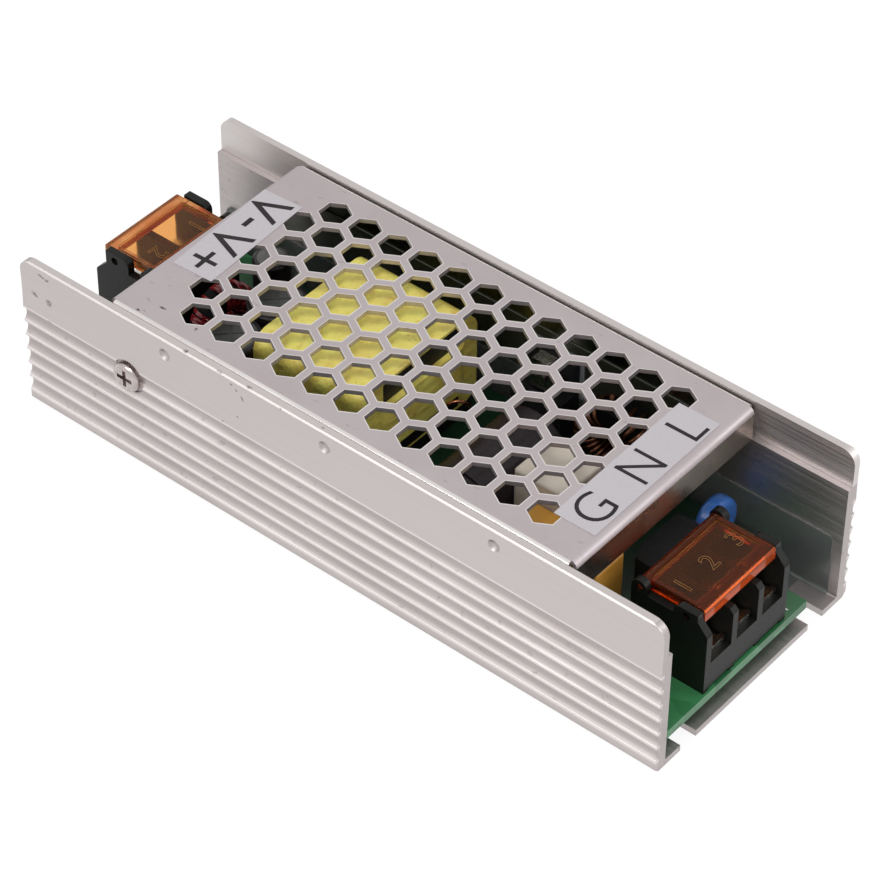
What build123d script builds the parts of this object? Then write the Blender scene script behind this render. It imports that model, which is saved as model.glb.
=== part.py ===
from build123d import *
from dataclasses import dataclass
import math
import os

# Power supply in an extruded aluminium channel, in millimetres.
# X runs along the channel, with the output terminals at -X and the input terminals at +X.
# Y runs across it and Z points up. The origin is in the middle of the channel's underside.

# Channel
CHANNEL_LENGTH = 126.0
CHANNEL_WIDTH = 48.0
CHANNEL_HEIGHT = 30.0
FLOOR = 1.2
UPPER_WALL = 1.4
LOWER_WALL = 2.4
LEDGE_DROP = 6.65
FLOOR_FILLET = 0.3
WALL_END_RADIUS = 2.5
BOTTOM_CHAMFER = 0.85
TOP_EDGE_CHAMFER = 0.25
RIB_COUNT = 7
RIB_PITCH = 2.91
FIRST_RIB = 2.5
RIB_TIP = 0.4
GROOVE_DEPTH = 0.65
BAND_HOLLOW = 0.15

# Fixing slots in the channel's floor, open at its ends
SLOT_WIDTH = 3.8
SLOT_DEPTH = 6.0
SLOT_FROM_SIDE = 8.0

# Punch marks in the walls, which hold the cover
STAKE_DIAMETER = 2.2
STAKE_DEPTH = 0.6
STAKE_BELOW_TOP = 3.1
STAKE_SPACING = 32.3
STAKE_COUNT = 3

# Cover, folded from one sheet
SHEET = 0.8
COVER_SETBACK = 17.5
COVER_SIDE_GAP = 0.2
COVER_BELOW_TOP = 0.15
COVER_BEND = 1.1
COVER_INNER_BEND = 0.3
END_FLANGE = 6.2
CORNER_RELIEF = 1.0
HEX_FLATS = 4.8
HEX_PITCH = 6.167
HEX_COLUMNS = 7
HEX_ROWS = 24

# Stickers on the cover
LABEL_THICKNESS = 0.1
OUTPUT_LABEL_LENGTH = 22.7
OUTPUT_LABEL_WIDTH = 7.65
OUTPUT_LABEL_FROM_END = 1.2
OUTPUT_LABEL_SHIFT = 2.1
OUTPUT_LABEL_TILT = 3.1
INPUT_LABEL_LENGTH = 30.5
INPUT_LABEL_WIDTH = 7.5
INPUT_LABEL_FROM_END = 1.65
INPUT_LABEL_SHIFT = -0.1
INPUT_LABEL_TILT = 0.6

# Circuit board and what lies under it
BOARD = 1.6
BOARD_END_GAP = 0.8
BOARD_SIDE_GAP = 0.8
BOARD_CORNER = 1.5
BOARD_NOTCH_LENGTH = 10.2
BOARD_NOTCH_WIDTH = 6.4
SPACER_HEIGHT = 2.5
SPACER_DIAMETER = 5.0
SPACER_FROM_END = 16.0
SPACER_FROM_SIDE = 4.5
FILM = 0.3
FILM_END_GAP = 1.7
FILM_SLOT_GAP = 0.7
FILM_BEND = 0.6
FILM_CORNER = 1.0

# Screws through the walls
SCREW_THREAD = 3.0
SCREW_HOLE = 3.3
SCREW_HEAD = 5.2
SCREW_HEAD_HEIGHT = 1.4
SCREW_HEAD_ROUND = 0.6
SCREW_BELOW_TOP = 12.3
POCKET_DIAMETER = 6.3
POCKET_DEPTH = 0.8
POCKET_SHIFT = 0.3
POCKET_RISE = 0.2
NUT_FLATS = 5.5
NUT_HEIGHT = 2.4
SCREW_PAST_NUT = 0.8
RECESS_WIDTH = 0.7
RECESS_SPAN = 3.1
RECESS_DEPTH = 1.0

# Power transistor and output rectifier, each clamped to a wall
TAB_WIDTH = 10.0
TAB_THICKNESS = 1.3
TAB_ABOVE_HOLE = 2.8
TAB_HOLE = 3.6
PACKAGE_BELOW_HOLE = 3.2
PACKAGE_STAND = 0.3
PACKAGE_THICKNESS = 4.5
PACKAGE_LEAD_WIDTH = 0.9
PACKAGE_LEAD_THICKNESS = 0.5
PACKAGE_LEAD_PITCH = 2.54
PACKAGE_LEAD_FROM_BACK = 2.4
PAD = 0.3
PAD_MARGIN = 0.8
PAD_BELOW_HOLE = 4.5
FILM_BELOW_PAD = 0.2
RECTIFIER_FROM_COVER_END = 4.8
TRANSISTOR_FROM_CHOKE = 2.9

# Clearances between neighbours
PART_GAP = 0.3
SLIP = 0.05

# Details that both terminal blocks share
LID = 1.0
LID_SIDE_GAP = 0.25
PANEL_DEPTH = 0.25
PANEL_SIDE = 0.9
PANEL_FRONT = 2.2
PANEL_REAR = 1.6
BARREL_RADIUS = 1.0
LIP = 2.0
LIP_HEIGHT = 2.3
LIP_ROUND = 0.7
SKIRT = 0.9
SKIRT_HEIGHT = 1.9
LID_CLEARANCE = 0.3
HINGE_BOSS = 1.4
HINGE_PIN = 1.2
HINGE_HOLE = 1.36
HINGE_PIN_REACH = 0.8
LATCH_HOLE = 1.4
LATCH_BELOW_TOP = 1.3
TAB_ROUND = 1.2
RAIL_HEIGHT = 0.6
SHOULDER_RADIUS = 0.9
CLAMP = 0.8
CLAMP_SIDE_GAP = 0.3
CLAMP_INSET = 1.0
CLAMP_LENGTH = 7.9
CLAMP_LIP = 0.7
WASHER = 0.8
TERMINAL_SCREW_INSET = 5.8
TERMINAL_THREAD = 3.0
TERMINAL_THREAD_HOLE = 3.2
TERMINAL_THREAD_REACH = 2.5
TERMINAL_HEAD_HEIGHT = 2.0


@dataclass
class TerminalBlock:
    """One screw terminal block, measured inwards from its wire side and up from the board."""

    poles: int
    pitch: float
    wall: float
    depth: float
    shift: float
    base: float
    bay_depth: float
    shoulder: float
    tab_start: float
    slope_top: float
    tab_top: float
    tab_end: float
    saddle: float
    lid_top: float
    lid_start: float
    latch_inset: float
    head_diameter: float

    @property
    def width(self):
        return self.poles * self.pitch + self.wall

    @property
    def bay_width(self):
        return self.pitch - self.wall

    @property
    def hinge_inset(self):
        return self.depth - HINGE_BOSS

    @property
    def hinge_height(self):
        return self.lid_top - BARREL_RADIUS

    @property
    def latch_height(self):
        return self.tab_top - LATCH_BELOW_TOP

    @property
    def partition_top(self):
        return self.lid_top - LIP_HEIGHT - LID_CLEARANCE

    @property
    def lid_width(self):
        return self.width - 2 * (self.wall + LID_SIDE_GAP)

    @property
    def pole_places(self):
        return [(i - (self.poles - 1) / 2) * self.pitch for i in range(self.poles)]

    @property
    def partition_places(self):
        return [(i - self.poles / 2) * self.pitch for i in range(1, self.poles)]


INPUT_BLOCK = TerminalBlock(
    poles=3, pitch=6.35, wall=1.3, depth=13.9, shift=-1.0, base=5.6, bay_depth=10.4,
    shoulder=11.6, tab_start=1.9, slope_top=13.75, tab_top=14.9, tab_end=6.2, saddle=13.2,
    lid_top=15.0, lid_start=1.7, latch_inset=4.0, head_diameter=4.6)
OUTPUT_BLOCK = TerminalBlock(
    poles=2, pitch=9.2, wall=1.4, depth=12.6, shift=2.0, base=5.8, bay_depth=9.6,
    shoulder=12.2, tab_start=2.3, slope_top=14.3, tab_top=16.9, tab_end=7.2, saddle=14.3,
    lid_top=16.6, lid_start=0.6, latch_inset=4.2, head_diameter=5.6)
INPUT_BLOCK_INSET = 0.4
OUTPUT_BLOCK_OVERHANG = 0.4

# Parts on the board, from the output end to the input end
CHOKE_OUTER = 12.0
CHOKE_INNER = 6.2
CHOKE_CORE_WIDTH = 3.8
CHOKE_WIRE = 0.8
CHOKE_TURNS = 13
CHOKE_SHIFT = 0.2
CHOKE_FROM_TERMINAL = 4.5
CAPACITOR_FROM_CHOKE = 3.1
OUTPUT_CAP_DIAMETER = 10.0
OUTPUT_CAP_HEIGHT = 16.0
OUTPUT_CAP_STEP = 10.8
OUTPUT_CAP_SHIFT = -3.9
SMALL_CAP_DIAMETER = 6.3
SMALL_CAP_HEIGHT = 12.2
SMALL_CAP_SHIFT = 12.0
CAN_NECK_DEPTH = 0.35
CAN_NECK_HEIGHT = 1.6
CAN_NECK_LENGTH = 0.8
CAN_EDGE = 0.5
CAN_SCORE_WIDTH = 0.5
CAN_SCORE_DEPTH = 0.25
CAN_TOP_SHARE = 0.8
TRANSFORMER_SHARE = 0.23
TRANSFORMER_FROM_CAPACITOR = 1.6
TRANSFORMER_WIDTH = 27.0
TRANSFORMER_HEADROOM = 2.65
TRANSFORMER_SHIFT = 2.0
TRANSFORMER_ROUND = 3.2
BOBBIN_BASE = 3.4
BOBBIN_MARGIN = 0.6
BOBBIN_FOOT = 2.4
CORE_LEG = 9.0
CORE_WIDTH = 18.0
CORE_YOKE = 3.6
TAPE = 0.5
WINDING_BULGE = 1.1
BULGE_WIDTH = 23.0
BULGE_ROUND = 4.0
BULK_DIAMETER = 13.8
BULK_LENGTH = 20.0
BULK_SHIFT = -0.5
FILTER_BOX_LENGTH = 9.7
FILTER_BOX_WIDTH = 9.6
FILTER_BOX_HEIGHT = 16.4
FILTER_BOX_SHIFT = -0.4
FILTER_BOX_FROM_TERMINAL = 17.2
YELLOW_BOX_LENGTH = 18.0
YELLOW_BOX_WIDTH = 7.0
YELLOW_BOX_HEIGHT = 12.7
YELLOW_BOX_FROM_TERMINAL = 5.4
BOX_ROUND = 0.6
LINE_CHOKE_OUTER = 13.6
LINE_CHOKE_INNER = 7.4
LINE_CHOKE_CORE_WIDTH = 4.4
LINE_CHOKE_WIRE = 1.1
LINE_CHOKE_TURNS = 6
LINE_CHOKE_FROM_BULK = 3.1
LINE_CHOKE_SHIFT = 17.2
BRIDGE_THICKNESS = 4.2
BRIDGE_WIDTH = 12.0
BRIDGE_HEIGHT = 10.2
BRIDGE_STAND = 1.2
BRIDGE_CORNER = 1.8
BRIDGE_FROM_TERMINAL = 1.1
BRIDGE_SHIFT = 3.0
BRIDGE_LEAD_PITCH = 3.0
DISC_DIAMETER = 8.0
DISC_THICKNESS = 3.2
DISC_STAND = 0.9
DISC_LEAD_PITCH = 5.0
DISC_LEAD = 0.7
VARISTOR_FROM_TERMINAL = 2.3
VARISTOR_SHIFT = 15.5
FUSE_LENGTH = 8.4
FUSE_WIDTH = 4.2
FUSE_HEIGHT = 7.6
AXIAL_LEAD = 0.6

# Low parts in the row beside the near wall
ROW_FROM_SIDE = 4.6
ROW_GAP = 2.0
CHIP_LENGTH = 9.6
CHIP_WIDTH = 6.4
CHIP_HEIGHT = 3.4
COUPLER_LENGTH = 6.4
COUPLER_WIDTH = 4.6
RESISTOR_DIAMETER = 2.4
RESISTOR_BODY = 6.2
RESISTOR_SPAN = 9.0
DIODE_DIAMETER = 2.7
DIODE_BODY = 5.0
AXIAL_STEP = 3.6
RESISTOR_COUNT = 3
DIODE_COUNT = 2

# Places worked out from the sizes above
NEAR = -1
FAR = 1
HALF_LENGTH = CHANNEL_LENGTH / 2
HALF_WIDTH = CHANNEL_WIDTH / 2
LEDGE_Z = CHANNEL_HEIGHT - LEDGE_DROP
INNER_WALL = HALF_WIDTH - LOWER_WALL
COVER_TOP = CHANNEL_HEIGHT - COVER_BELOW_TOP
COVER_LENGTH = CHANNEL_LENGTH - 2 * COVER_SETBACK
COVER_WIDTH = CHANNEL_WIDTH - 2 * (UPPER_WALL + COVER_SIDE_GAP)
FILM_TOP = FLOOR + FILM
BOARD_BOTTOM = FILM_TOP + SPACER_HEIGHT
BOARD_TOP = BOARD_BOTTOM + BOARD
BOARD_END = HALF_LENGTH - BOARD_END_GAP
BOARD_SIDE = INNER_WALL - BOARD_SIDE_GAP
SLOT_Y = HALF_WIDTH - SLOT_FROM_SIDE
SLOT_END = HALF_LENGTH - SLOT_DEPTH
WALL_SCREW_Z = CHANNEL_HEIGHT - SCREW_BELOW_TOP
INPUT_FRONT = BOARD_END - INPUT_BLOCK_INSET
OUTPUT_FRONT = -BOARD_END - OUTPUT_BLOCK_OVERHANG
INPUT_REAR = INPUT_FRONT - INPUT_BLOCK.depth
OUTPUT_REAR = OUTPUT_FRONT + OUTPUT_BLOCK.depth
CHOKE_RADIUS = CHOKE_OUTER / 2 + CHOKE_WIRE
CHOKE_HALF_WIDTH = CHOKE_CORE_WIDTH / 2 + CHOKE_WIRE
CHOKE_X = OUTPUT_REAR + CHOKE_FROM_TERMINAL + CHOKE_HALF_WIDTH
OUTPUT_CAP_X = CHOKE_X + CHOKE_HALF_WIDTH + CAPACITOR_FROM_CHOKE + OUTPUT_CAP_DIAMETER / 2
TRANSFORMER_LENGTH = TRANSFORMER_SHARE * (INPUT_REAR - OUTPUT_REAR)
TRANSFORMER_X = OUTPUT_CAP_X + (OUTPUT_CAP_DIAMETER + TRANSFORMER_LENGTH) / 2 + TRANSFORMER_FROM_CAPACITOR
TRANSFORMER_TOP = COVER_TOP - SHEET - TRANSFORMER_HEADROOM
BOBBIN_TOP = BOARD_TOP + BOBBIN_BASE
WINDING_HEIGHT = TRANSFORMER_TOP - BOBBIN_TOP
WINDING_MIDDLE = BOBBIN_TOP + WINDING_HEIGHT / 2
FILTER_BOX_X = INPUT_REAR - FILTER_BOX_FROM_TERMINAL - FILTER_BOX_LENGTH / 2
BULK_END = FILTER_BOX_X - FILTER_BOX_LENGTH / 2 - PART_GAP
BULK_X = BULK_END - BULK_DIAMETER / 2
YELLOW_BOX_X = INPUT_REAR - YELLOW_BOX_FROM_TERMINAL - YELLOW_BOX_LENGTH / 2
YELLOW_BOX_Y = FILTER_BOX_SHIFT - (FILTER_BOX_WIDTH + YELLOW_BOX_WIDTH) / 2 - PART_GAP
LINE_CHOKE_RADIUS = LINE_CHOKE_OUTER / 2 + LINE_CHOKE_WIRE
LINE_CHOKE_X = BULK_END + LINE_CHOKE_FROM_BULK
BRIDGE_X = INPUT_REAR - BRIDGE_FROM_TERMINAL - BRIDGE_THICKNESS / 2
VARISTOR_X = INPUT_REAR - VARISTOR_FROM_TERMINAL - DISC_THICKNESS / 2
RECTIFIER_X = -COVER_LENGTH / 2 + RECTIFIER_FROM_COVER_END
TRANSISTOR_X = LINE_CHOKE_X - LINE_CHOKE_RADIUS - TRANSISTOR_FROM_CHOKE - TAB_WIDTH / 2
PAD_BOTTOM = WALL_SCREW_Z - PAD_BELOW_HOLE
FILM_EDGE = PAD_BOTTOM - FILM_BELOW_PAD
ROW_Y = -BOARD_SIDE + ROW_FROM_SIDE


def block(x0, x1, y0, y1, z0, z1):
    """A box between two corners, given in any order."""
    size = Box(abs(x1 - x0), abs(y1 - y0), abs(z1 - z0))
    return Pos((x0 + x1) / 2, (y0 + y1) / 2, (z0 + z1) / 2) * size


def upright(x, y, z0, z1, diameter):
    """A vertical round bar."""
    return Pos(x, y, (z0 + z1) / 2) * Cylinder(diameter / 2, z1 - z0)


def crosswise(x, z, y0, y1, diameter):
    """A round bar along Y, between two ends given in any order."""
    return Pos(x, (y0 + y1) / 2, z) * Rot(90, 0, 0) * Cylinder(diameter / 2, abs(y1 - y0))


def side_plate(points, y0, y1):
    """A plate from y0 to y1 with the given outline in X and Z."""
    face = make_face(Polyline(*[(x, y0, z) for x, z in points], close=True))
    return extrude(face, y1 - y0, dir=(0, 1, 0))


def cross_recess(x, y, z):
    """Cutting tool for a cross recess in a screw head whose top is at z."""
    arm = Box(RECESS_SPAN, RECESS_WIDTH, 2 * RECESS_DEPTH)
    return Pos(x, y, z) * (arm + Rot(0, 0, 90) * arm)


def channel_section():
    """The +Y half of the channel's section, in the YZ plane."""
    out = HALF_WIDTH
    tips = [FIRST_RIB + i * RIB_PITCH for i in range(RIB_COUNT)]
    edges = [Line((0, 0), (out - BOTTOM_CHAMFER, 0)),
             Line((out - BOTTOM_CHAMFER, 0), (out, BOTTOM_CHAMFER)),
             Line((out, BOTTOM_CHAMFER), (out, tips[0] + RIB_TIP / 2))]
    for low, high in zip(tips, tips[1:]):
        start = low + RIB_TIP / 2
        end = high - RIB_TIP / 2
        deepest = (out - GROOVE_DEPTH, (start + end) / 2)
        edges.append(ThreePointArc((out, start), deepest, (out, end)))
        edges.append(Line((out, end), (out, high + RIB_TIP / 2)))
    band_start = tips[-1] + RIB_TIP / 2
    band_end = CHANNEL_HEIGHT - TOP_EDGE_CHAMFER
    band_middle = (out - BAND_HOLLOW, (band_start + band_end) / 2)
    edges.append(ThreePointArc((out, band_start), band_middle, (out, band_end)))
    ledge_edge = out - UPPER_WALL
    bend = FLOOR_FILLET
    bend_middle = (INNER_WALL - bend * (1 - math.sqrt(0.5)), FLOOR + bend * (1 - math.sqrt(0.5)))
    edges += [Line((out, band_end), (out - TOP_EDGE_CHAMFER, CHANNEL_HEIGHT)),
              Line((out - TOP_EDGE_CHAMFER, CHANNEL_HEIGHT), (ledge_edge, CHANNEL_HEIGHT)),
              Line((ledge_edge, CHANNEL_HEIGHT), (ledge_edge, LEDGE_Z)),
              Line((ledge_edge, LEDGE_Z), (INNER_WALL, LEDGE_Z)),
              Line((INNER_WALL, LEDGE_Z), (INNER_WALL, FLOOR + bend)),
              ThreePointArc((INNER_WALL, FLOOR + bend), bend_middle, (INNER_WALL - bend, FLOOR)),
              Line((INNER_WALL - bend, FLOOR), (0, FLOOR)),
              Line((0, FLOOR), (0, 0))]
    return Plane.YZ * make_face(edges)


def fixing_slots():
    """Cutting tool for the open slots in the floor, two at each end."""
    cut = []
    for end in (-1, 1):
        for side in (NEAR, FAR):
            y = side * SLOT_Y
            round_end = end * (SLOT_END + SLOT_WIDTH / 2)
            cut.append(upright(round_end, y, -FLOOR, 2 * FLOOR, SLOT_WIDTH))
            cut.append(block(round_end, end * (HALF_LENGTH + SLOT_WIDTH),
                             y - SLOT_WIDTH / 2, y + SLOT_WIDTH / 2, -FLOOR, 2 * FLOOR))
    return cut


def stake_marks():
    """Cutting tool for the round punch marks beside the cover's flanges."""
    radius = (STAKE_DIAMETER ** 2 / 4 + STAKE_DEPTH ** 2) / (2 * STAKE_DEPTH)
    cut = []
    for i in range(STAKE_COUNT):
        x = (i - (STAKE_COUNT - 1) / 2) * STAKE_SPACING
        for side in (NEAR, FAR):
            y = side * (HALF_WIDTH - BAND_HOLLOW + radius - STAKE_DEPTH)
            cut.append(Pos(x, y, CHANNEL_HEIGHT - STAKE_BELOW_TOP) * Sphere(radius))
    return cut


def wall_screw_cuts(x, side):
    """Clearance hole through a wall, and the milled pocket for the screw's head."""
    outside = side * (HALF_WIDTH + LOWER_WALL)
    hole = crosswise(x, WALL_SCREW_Z, side * (INNER_WALL - LOWER_WALL), outside, SCREW_HOLE)
    pocket = crosswise(x + POCKET_SHIFT, WALL_SCREW_Z + POCKET_RISE,
                       side * (HALF_WIDTH - POCKET_DEPTH), outside, POCKET_DIAMETER)
    return [hole, pocket]


def channel_extrusion():
    half = extrude(channel_section(), HALF_LENGTH, both=True)
    channel = half + mirror(half, about=Plane.XZ)
    side_view = block(-HALF_LENGTH, HALF_LENGTH, -HALF_WIDTH - FLOOR, HALF_WIDTH + FLOOR, 0, CHANNEL_HEIGHT)
    top_corners = side_view.edges().filter_by(Axis.Y).group_by(Axis.Z)[-1]
    channel = channel & fillet(top_corners, WALL_END_RADIUS)
    channel -= fixing_slots()
    channel -= stake_marks()
    channel -= wall_screw_cuts(RECTIFIER_X, NEAR)
    channel -= wall_screw_cuts(TRANSISTOR_X, FAR)
    return channel


def hex_holes():
    """Staggered rows of hexagons with flat sides towards the channel's ends."""
    column_step = HEX_PITCH * math.sqrt(3) / 2
    row_step = HEX_PITCH / 2
    hexagon = RegularPolygon(HEX_FLATS / math.sqrt(3), 6, rotation=90)
    holes = []
    for row in range(HEX_ROWS):
        for column in range(1 - row % 2, HEX_COLUMNS, 2):
            x = (row - (HEX_ROWS - 1) / 2) * row_step
            y = (column - (HEX_COLUMNS - 1) / 2) * column_step
            holes.append(Pos(x, y) * hexagon)
    return holes


def top_cover():
    """Sheet cover with side flanges that stand on the ledges and shorter end flanges."""
    half_x = COVER_LENGTH / 2
    half_y = COVER_WIDTH / 2
    outer = block(-half_x, half_x, -half_y, half_y, LEDGE_Z, COVER_TOP)
    outer = fillet(outer.faces().sort_by(Axis.Z)[-1].edges(), COVER_BEND)
    inner = block(-half_x + SHEET, half_x - SHEET, -half_y + SHEET, half_y - SHEET,
                  LEDGE_Z - SHEET, COVER_TOP - SHEET)
    inner = fillet(inner.faces().sort_by(Axis.Z)[-1].edges(), COVER_INNER_BEND)
    cover = outer - inner
    for end in (-1, 1):
        cover -= block(end * (half_x - 2 * SHEET), end * (half_x + SHEET), -half_y + SHEET,
                       half_y - SHEET, LEDGE_Z - SHEET, COVER_TOP - END_FLANGE)
        for side in (NEAR, FAR):
            relief = Box(2 * CORNER_RELIEF, 2 * CORNER_RELIEF, 4 * LEDGE_DROP)
            cover -= Pos(end * half_x, side * half_y, COVER_TOP) * relief
    drill = [Pos(0, 0, COVER_TOP - 2 * SHEET) * extrude(hole, 4 * SHEET) for hole in hex_holes()]
    return cover - drill


def label(length, width, x, y, tilt):
    """A thin sticker on the cover, longer across the channel than along it."""
    sheet = Box(width, length, LABEL_THICKNESS)
    return Pos(x, y, COVER_TOP + LABEL_THICKNESS / 2) * Rot(0, 0, tilt) * sheet


def output_label():
    x = -COVER_LENGTH / 2 + OUTPUT_LABEL_FROM_END + OUTPUT_LABEL_WIDTH / 2
    return label(OUTPUT_LABEL_LENGTH, OUTPUT_LABEL_WIDTH, x, OUTPUT_LABEL_SHIFT, OUTPUT_LABEL_TILT)


def input_label():
    x = COVER_LENGTH / 2 - INPUT_LABEL_FROM_END - INPUT_LABEL_WIDTH / 2
    return label(INPUT_LABEL_LENGTH, INPUT_LABEL_WIDTH, x, INPUT_LABEL_SHIFT, INPUT_LABEL_TILT)


def circuit_board():
    """The board, with a corner cut away at each end above a fixing slot."""
    board = block(-BOARD_END, BOARD_END, -BOARD_SIDE, BOARD_SIDE, BOARD_BOTTOM, BOARD_TOP)
    board = fillet(board.edges().filter_by(Axis.Z), BOARD_CORNER / 2)
    for end in (-1, 1):
        notch = Box(2 * BOARD_NOTCH_LENGTH, 2 * BOARD_NOTCH_WIDTH, 4 * BOARD)
        notch = fillet(notch.edges().filter_by(Axis.Z), BOARD_CORNER)
        board -= Pos(end * BOARD_END, end * BOARD_SIDE, BOARD_BOTTOM) * notch
    return board


def board_spacers():
    x = BOARD_END - SPACER_FROM_END
    y = BOARD_SIDE - SPACER_FROM_SIDE
    return [upright(sx * x, sy * y, FILM_TOP, BOARD_BOTTOM, SPACER_DIAMETER)
            for sx in (-1, 1) for sy in (NEAR, FAR)]


def insulation_film():
    """Thin film folded into a tray between the board and the channel."""
    half_x = HALF_LENGTH - FILM_END_GAP
    outer = block(-half_x, half_x, -INNER_WALL, INNER_WALL, FLOOR, FILM_EDGE)
    outer = fillet(outer.edges().filter_by(Axis.X).group_by(Axis.Z)[0], FILM_BEND)
    inner = block(-half_x - FILM, half_x + FILM, -INNER_WALL + FILM, INNER_WALL - FILM,
                  FILM_TOP, FILM_EDGE + FILM)
    inner = fillet(inner.edges().filter_by(Axis.X).group_by(Axis.Z)[0], FILM_BEND - FILM)
    film = outer - inner
    film = fillet(film.edges().filter_by(Axis.Y).group_by(Axis.Z)[-1], FILM_CORNER)
    tongue = SLOT_END - FILM_SLOT_GAP
    for end in (-1, 1):
        film -= block(end * tongue, end * HALF_LENGTH, -INNER_WALL + FILM_BEND,
                      INNER_WALL - FILM_BEND, FLOOR - FILM, FILM_TOP + FILM)
    return film


def end_wall(terminal):
    """Outer wall of a terminal block with its latch tab and hinge boss, at y = 0 to its thickness."""
    t = terminal
    wall = side_plate([(0, 0), (0, t.shoulder), (t.tab_start, t.slope_top), (t.tab_start, t.tab_top),
                       (t.tab_end, t.tab_top), (t.tab_end, t.saddle), (t.hinge_inset, t.saddle),
                       (t.depth, t.hinge_height), (t.depth, 0)], 0, t.wall)
    wall = fillet(wall.edges().filter_by(Axis.Y).sort_by_distance((0, t.wall / 2, t.shoulder))[0],
                  SHOULDER_RADIUS)
    wall = fillet(wall.edges().filter_by(Axis.Y).sort_by_distance((t.tab_end, t.wall / 2, t.tab_top))[0],
                  TAB_ROUND)
    wall += crosswise(t.hinge_inset, t.hinge_height, 0, t.wall, 2 * HINGE_BOSS)
    wall -= crosswise(t.hinge_inset, t.hinge_height, -t.wall, 2 * t.wall, HINGE_HOLE)
    wall -= crosswise(t.latch_inset, t.latch_height, -t.wall, 2 * t.wall, LATCH_HOLE)
    return wall


def partition(terminal):
    """Wall between two poles, low enough for the lid to close over it."""
    t = terminal
    slope = t.tab_start / (t.slope_top - t.shoulder)
    reach = (t.partition_top - t.shoulder) * slope
    return side_plate([(0, 0), (0, t.shoulder), (reach, t.partition_top),
                       (t.depth, t.partition_top), (t.depth, 0)], -t.wall / 2, t.wall / 2)


def terminal_body(terminal):
    """Moulded body with a bay for each pole, open to the front and the top."""
    t = terminal
    side = t.width / 2
    body = block(0, t.depth, -side, side, 0, t.base)
    body += block(t.bay_depth, t.depth, -side, side, 0, t.partition_top)
    body += Pos(0, -side, 0) * end_wall(t)
    body += Pos(0, side - t.wall, 0) * end_wall(t)
    for y in t.partition_places:
        body += Pos(0, y, 0) * partition(t)
    for y in t.pole_places:
        half_bay = t.bay_width / 2
        body -= block(-t.wall, t.depth + t.wall, y - half_bay, y + half_bay, -RAIL_HEIGHT, RAIL_HEIGHT)
        body -= upright(TERMINAL_SCREW_INSET, y, t.base - TERMINAL_THREAD_REACH - t.wall, t.base + SLIP,
                        TERMINAL_THREAD_HOLE)
    return body


def terminal_lid(terminal):
    """Hinged lid with a sunk panel, side skirts, a hinge barrel behind and a deep lip in front."""
    t = terminal
    side = t.lid_width / 2
    lid = block(t.lid_start, t.hinge_inset, -side, side, t.lid_top - LID, t.lid_top)
    lid += block(t.lid_start, t.lid_start + LIP, -side, side, t.lid_top - LIP_HEIGHT, t.lid_top)
    lid = fillet(lid.edges().filter_by(Axis.Y).group_by(Axis.X)[0].sort_by(Axis.Z)[-1], LIP_ROUND)
    for end in (-1, 1):
        lid += block(t.lid_start + LIP, t.hinge_inset, end * side, end * (side - SKIRT),
                     t.lid_top - SKIRT_HEIGHT, t.lid_top)
    lid += crosswise(t.hinge_inset, t.hinge_height, -side, side, 2 * BARREL_RADIUS)
    lid -= block(t.lid_start + PANEL_FRONT, t.hinge_inset + BARREL_RADIUS - PANEL_REAR,
                 -side + PANEL_SIDE, side - PANEL_SIDE, t.lid_top - PANEL_DEPTH, t.lid_top + LID)
    pin_end = side + LID_SIDE_GAP + HINGE_PIN_REACH
    return lid + crosswise(t.hinge_inset, t.hinge_height, -pin_end, pin_end, HINGE_PIN)


def clamp_plates(terminal):
    """The metal plate under each terminal screw, with its front edge turned up."""
    t = terminal
    half = t.bay_width / 2 - CLAMP_SIDE_GAP
    plates = []
    for y in t.pole_places:
        plate = block(CLAMP_INSET, CLAMP_INSET + CLAMP_LENGTH, y - half, y + half, t.base, t.base + CLAMP)
        plate += block(CLAMP_INSET, CLAMP_INSET + CLAMP, y - half, y + half, t.base,
                       t.base + CLAMP + CLAMP_LIP)
        plates.append(plate - upright(TERMINAL_SCREW_INSET, y, 0, t.lid_top, TERMINAL_THREAD_HOLE))
    return plates


def terminal_screws(terminal):
    """A screw with a captive square washer for each pole."""
    t = terminal
    washer_z = t.base + CLAMP
    head_z = washer_z + WASHER
    top = head_z + TERMINAL_HEAD_HEIGHT
    half = t.bay_width / 2 - 2 * CLAMP_SIDE_GAP
    screws = []
    for y in t.pole_places:
        x = TERMINAL_SCREW_INSET
        screw = upright(x, y, t.base - TERMINAL_THREAD_REACH, head_z, TERMINAL_THREAD)
        screw += block(x - half, x + half, y - half, y + half, washer_z, head_z)
        screw += upright(x, y, head_z, top, t.head_diameter)
        screws.append(screw - cross_recess(x, y, top))
    return screws


def at_input(shape):
    return Pos(INPUT_FRONT, INPUT_BLOCK.shift, BOARD_TOP) * Rot(0, 0, 180) * shape


def at_output(shape):
    return Pos(OUTPUT_FRONT, OUTPUT_BLOCK.shift, BOARD_TOP) * shape


def toroid(outer, inner, height, wire, angles):
    """A ring core about Z and its wire turns, which share a thin ring under the core."""
    core = Cylinder(outer / 2, height) - Cylinder(inner / 2, height + wire)
    middle = (outer + inner) / 4
    thick = (outer - inner) / 2 + 2 * SLIP
    loop = Box(thick + 2 * wire, wire, height + 2 * (wire + SLIP))
    loop -= Box(thick, 2 * wire, height + 2 * SLIP)
    base_z = -height / 2 - SLIP - wire / 2
    winding = Pos(0, 0, base_z) * (Cylinder(outer / 2, wire) - Cylinder(inner / 2, 2 * wire))
    winding += [Rot(0, 0, angle) * Pos(middle, 0, 0) * loop for angle in angles]
    return core, winding


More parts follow.
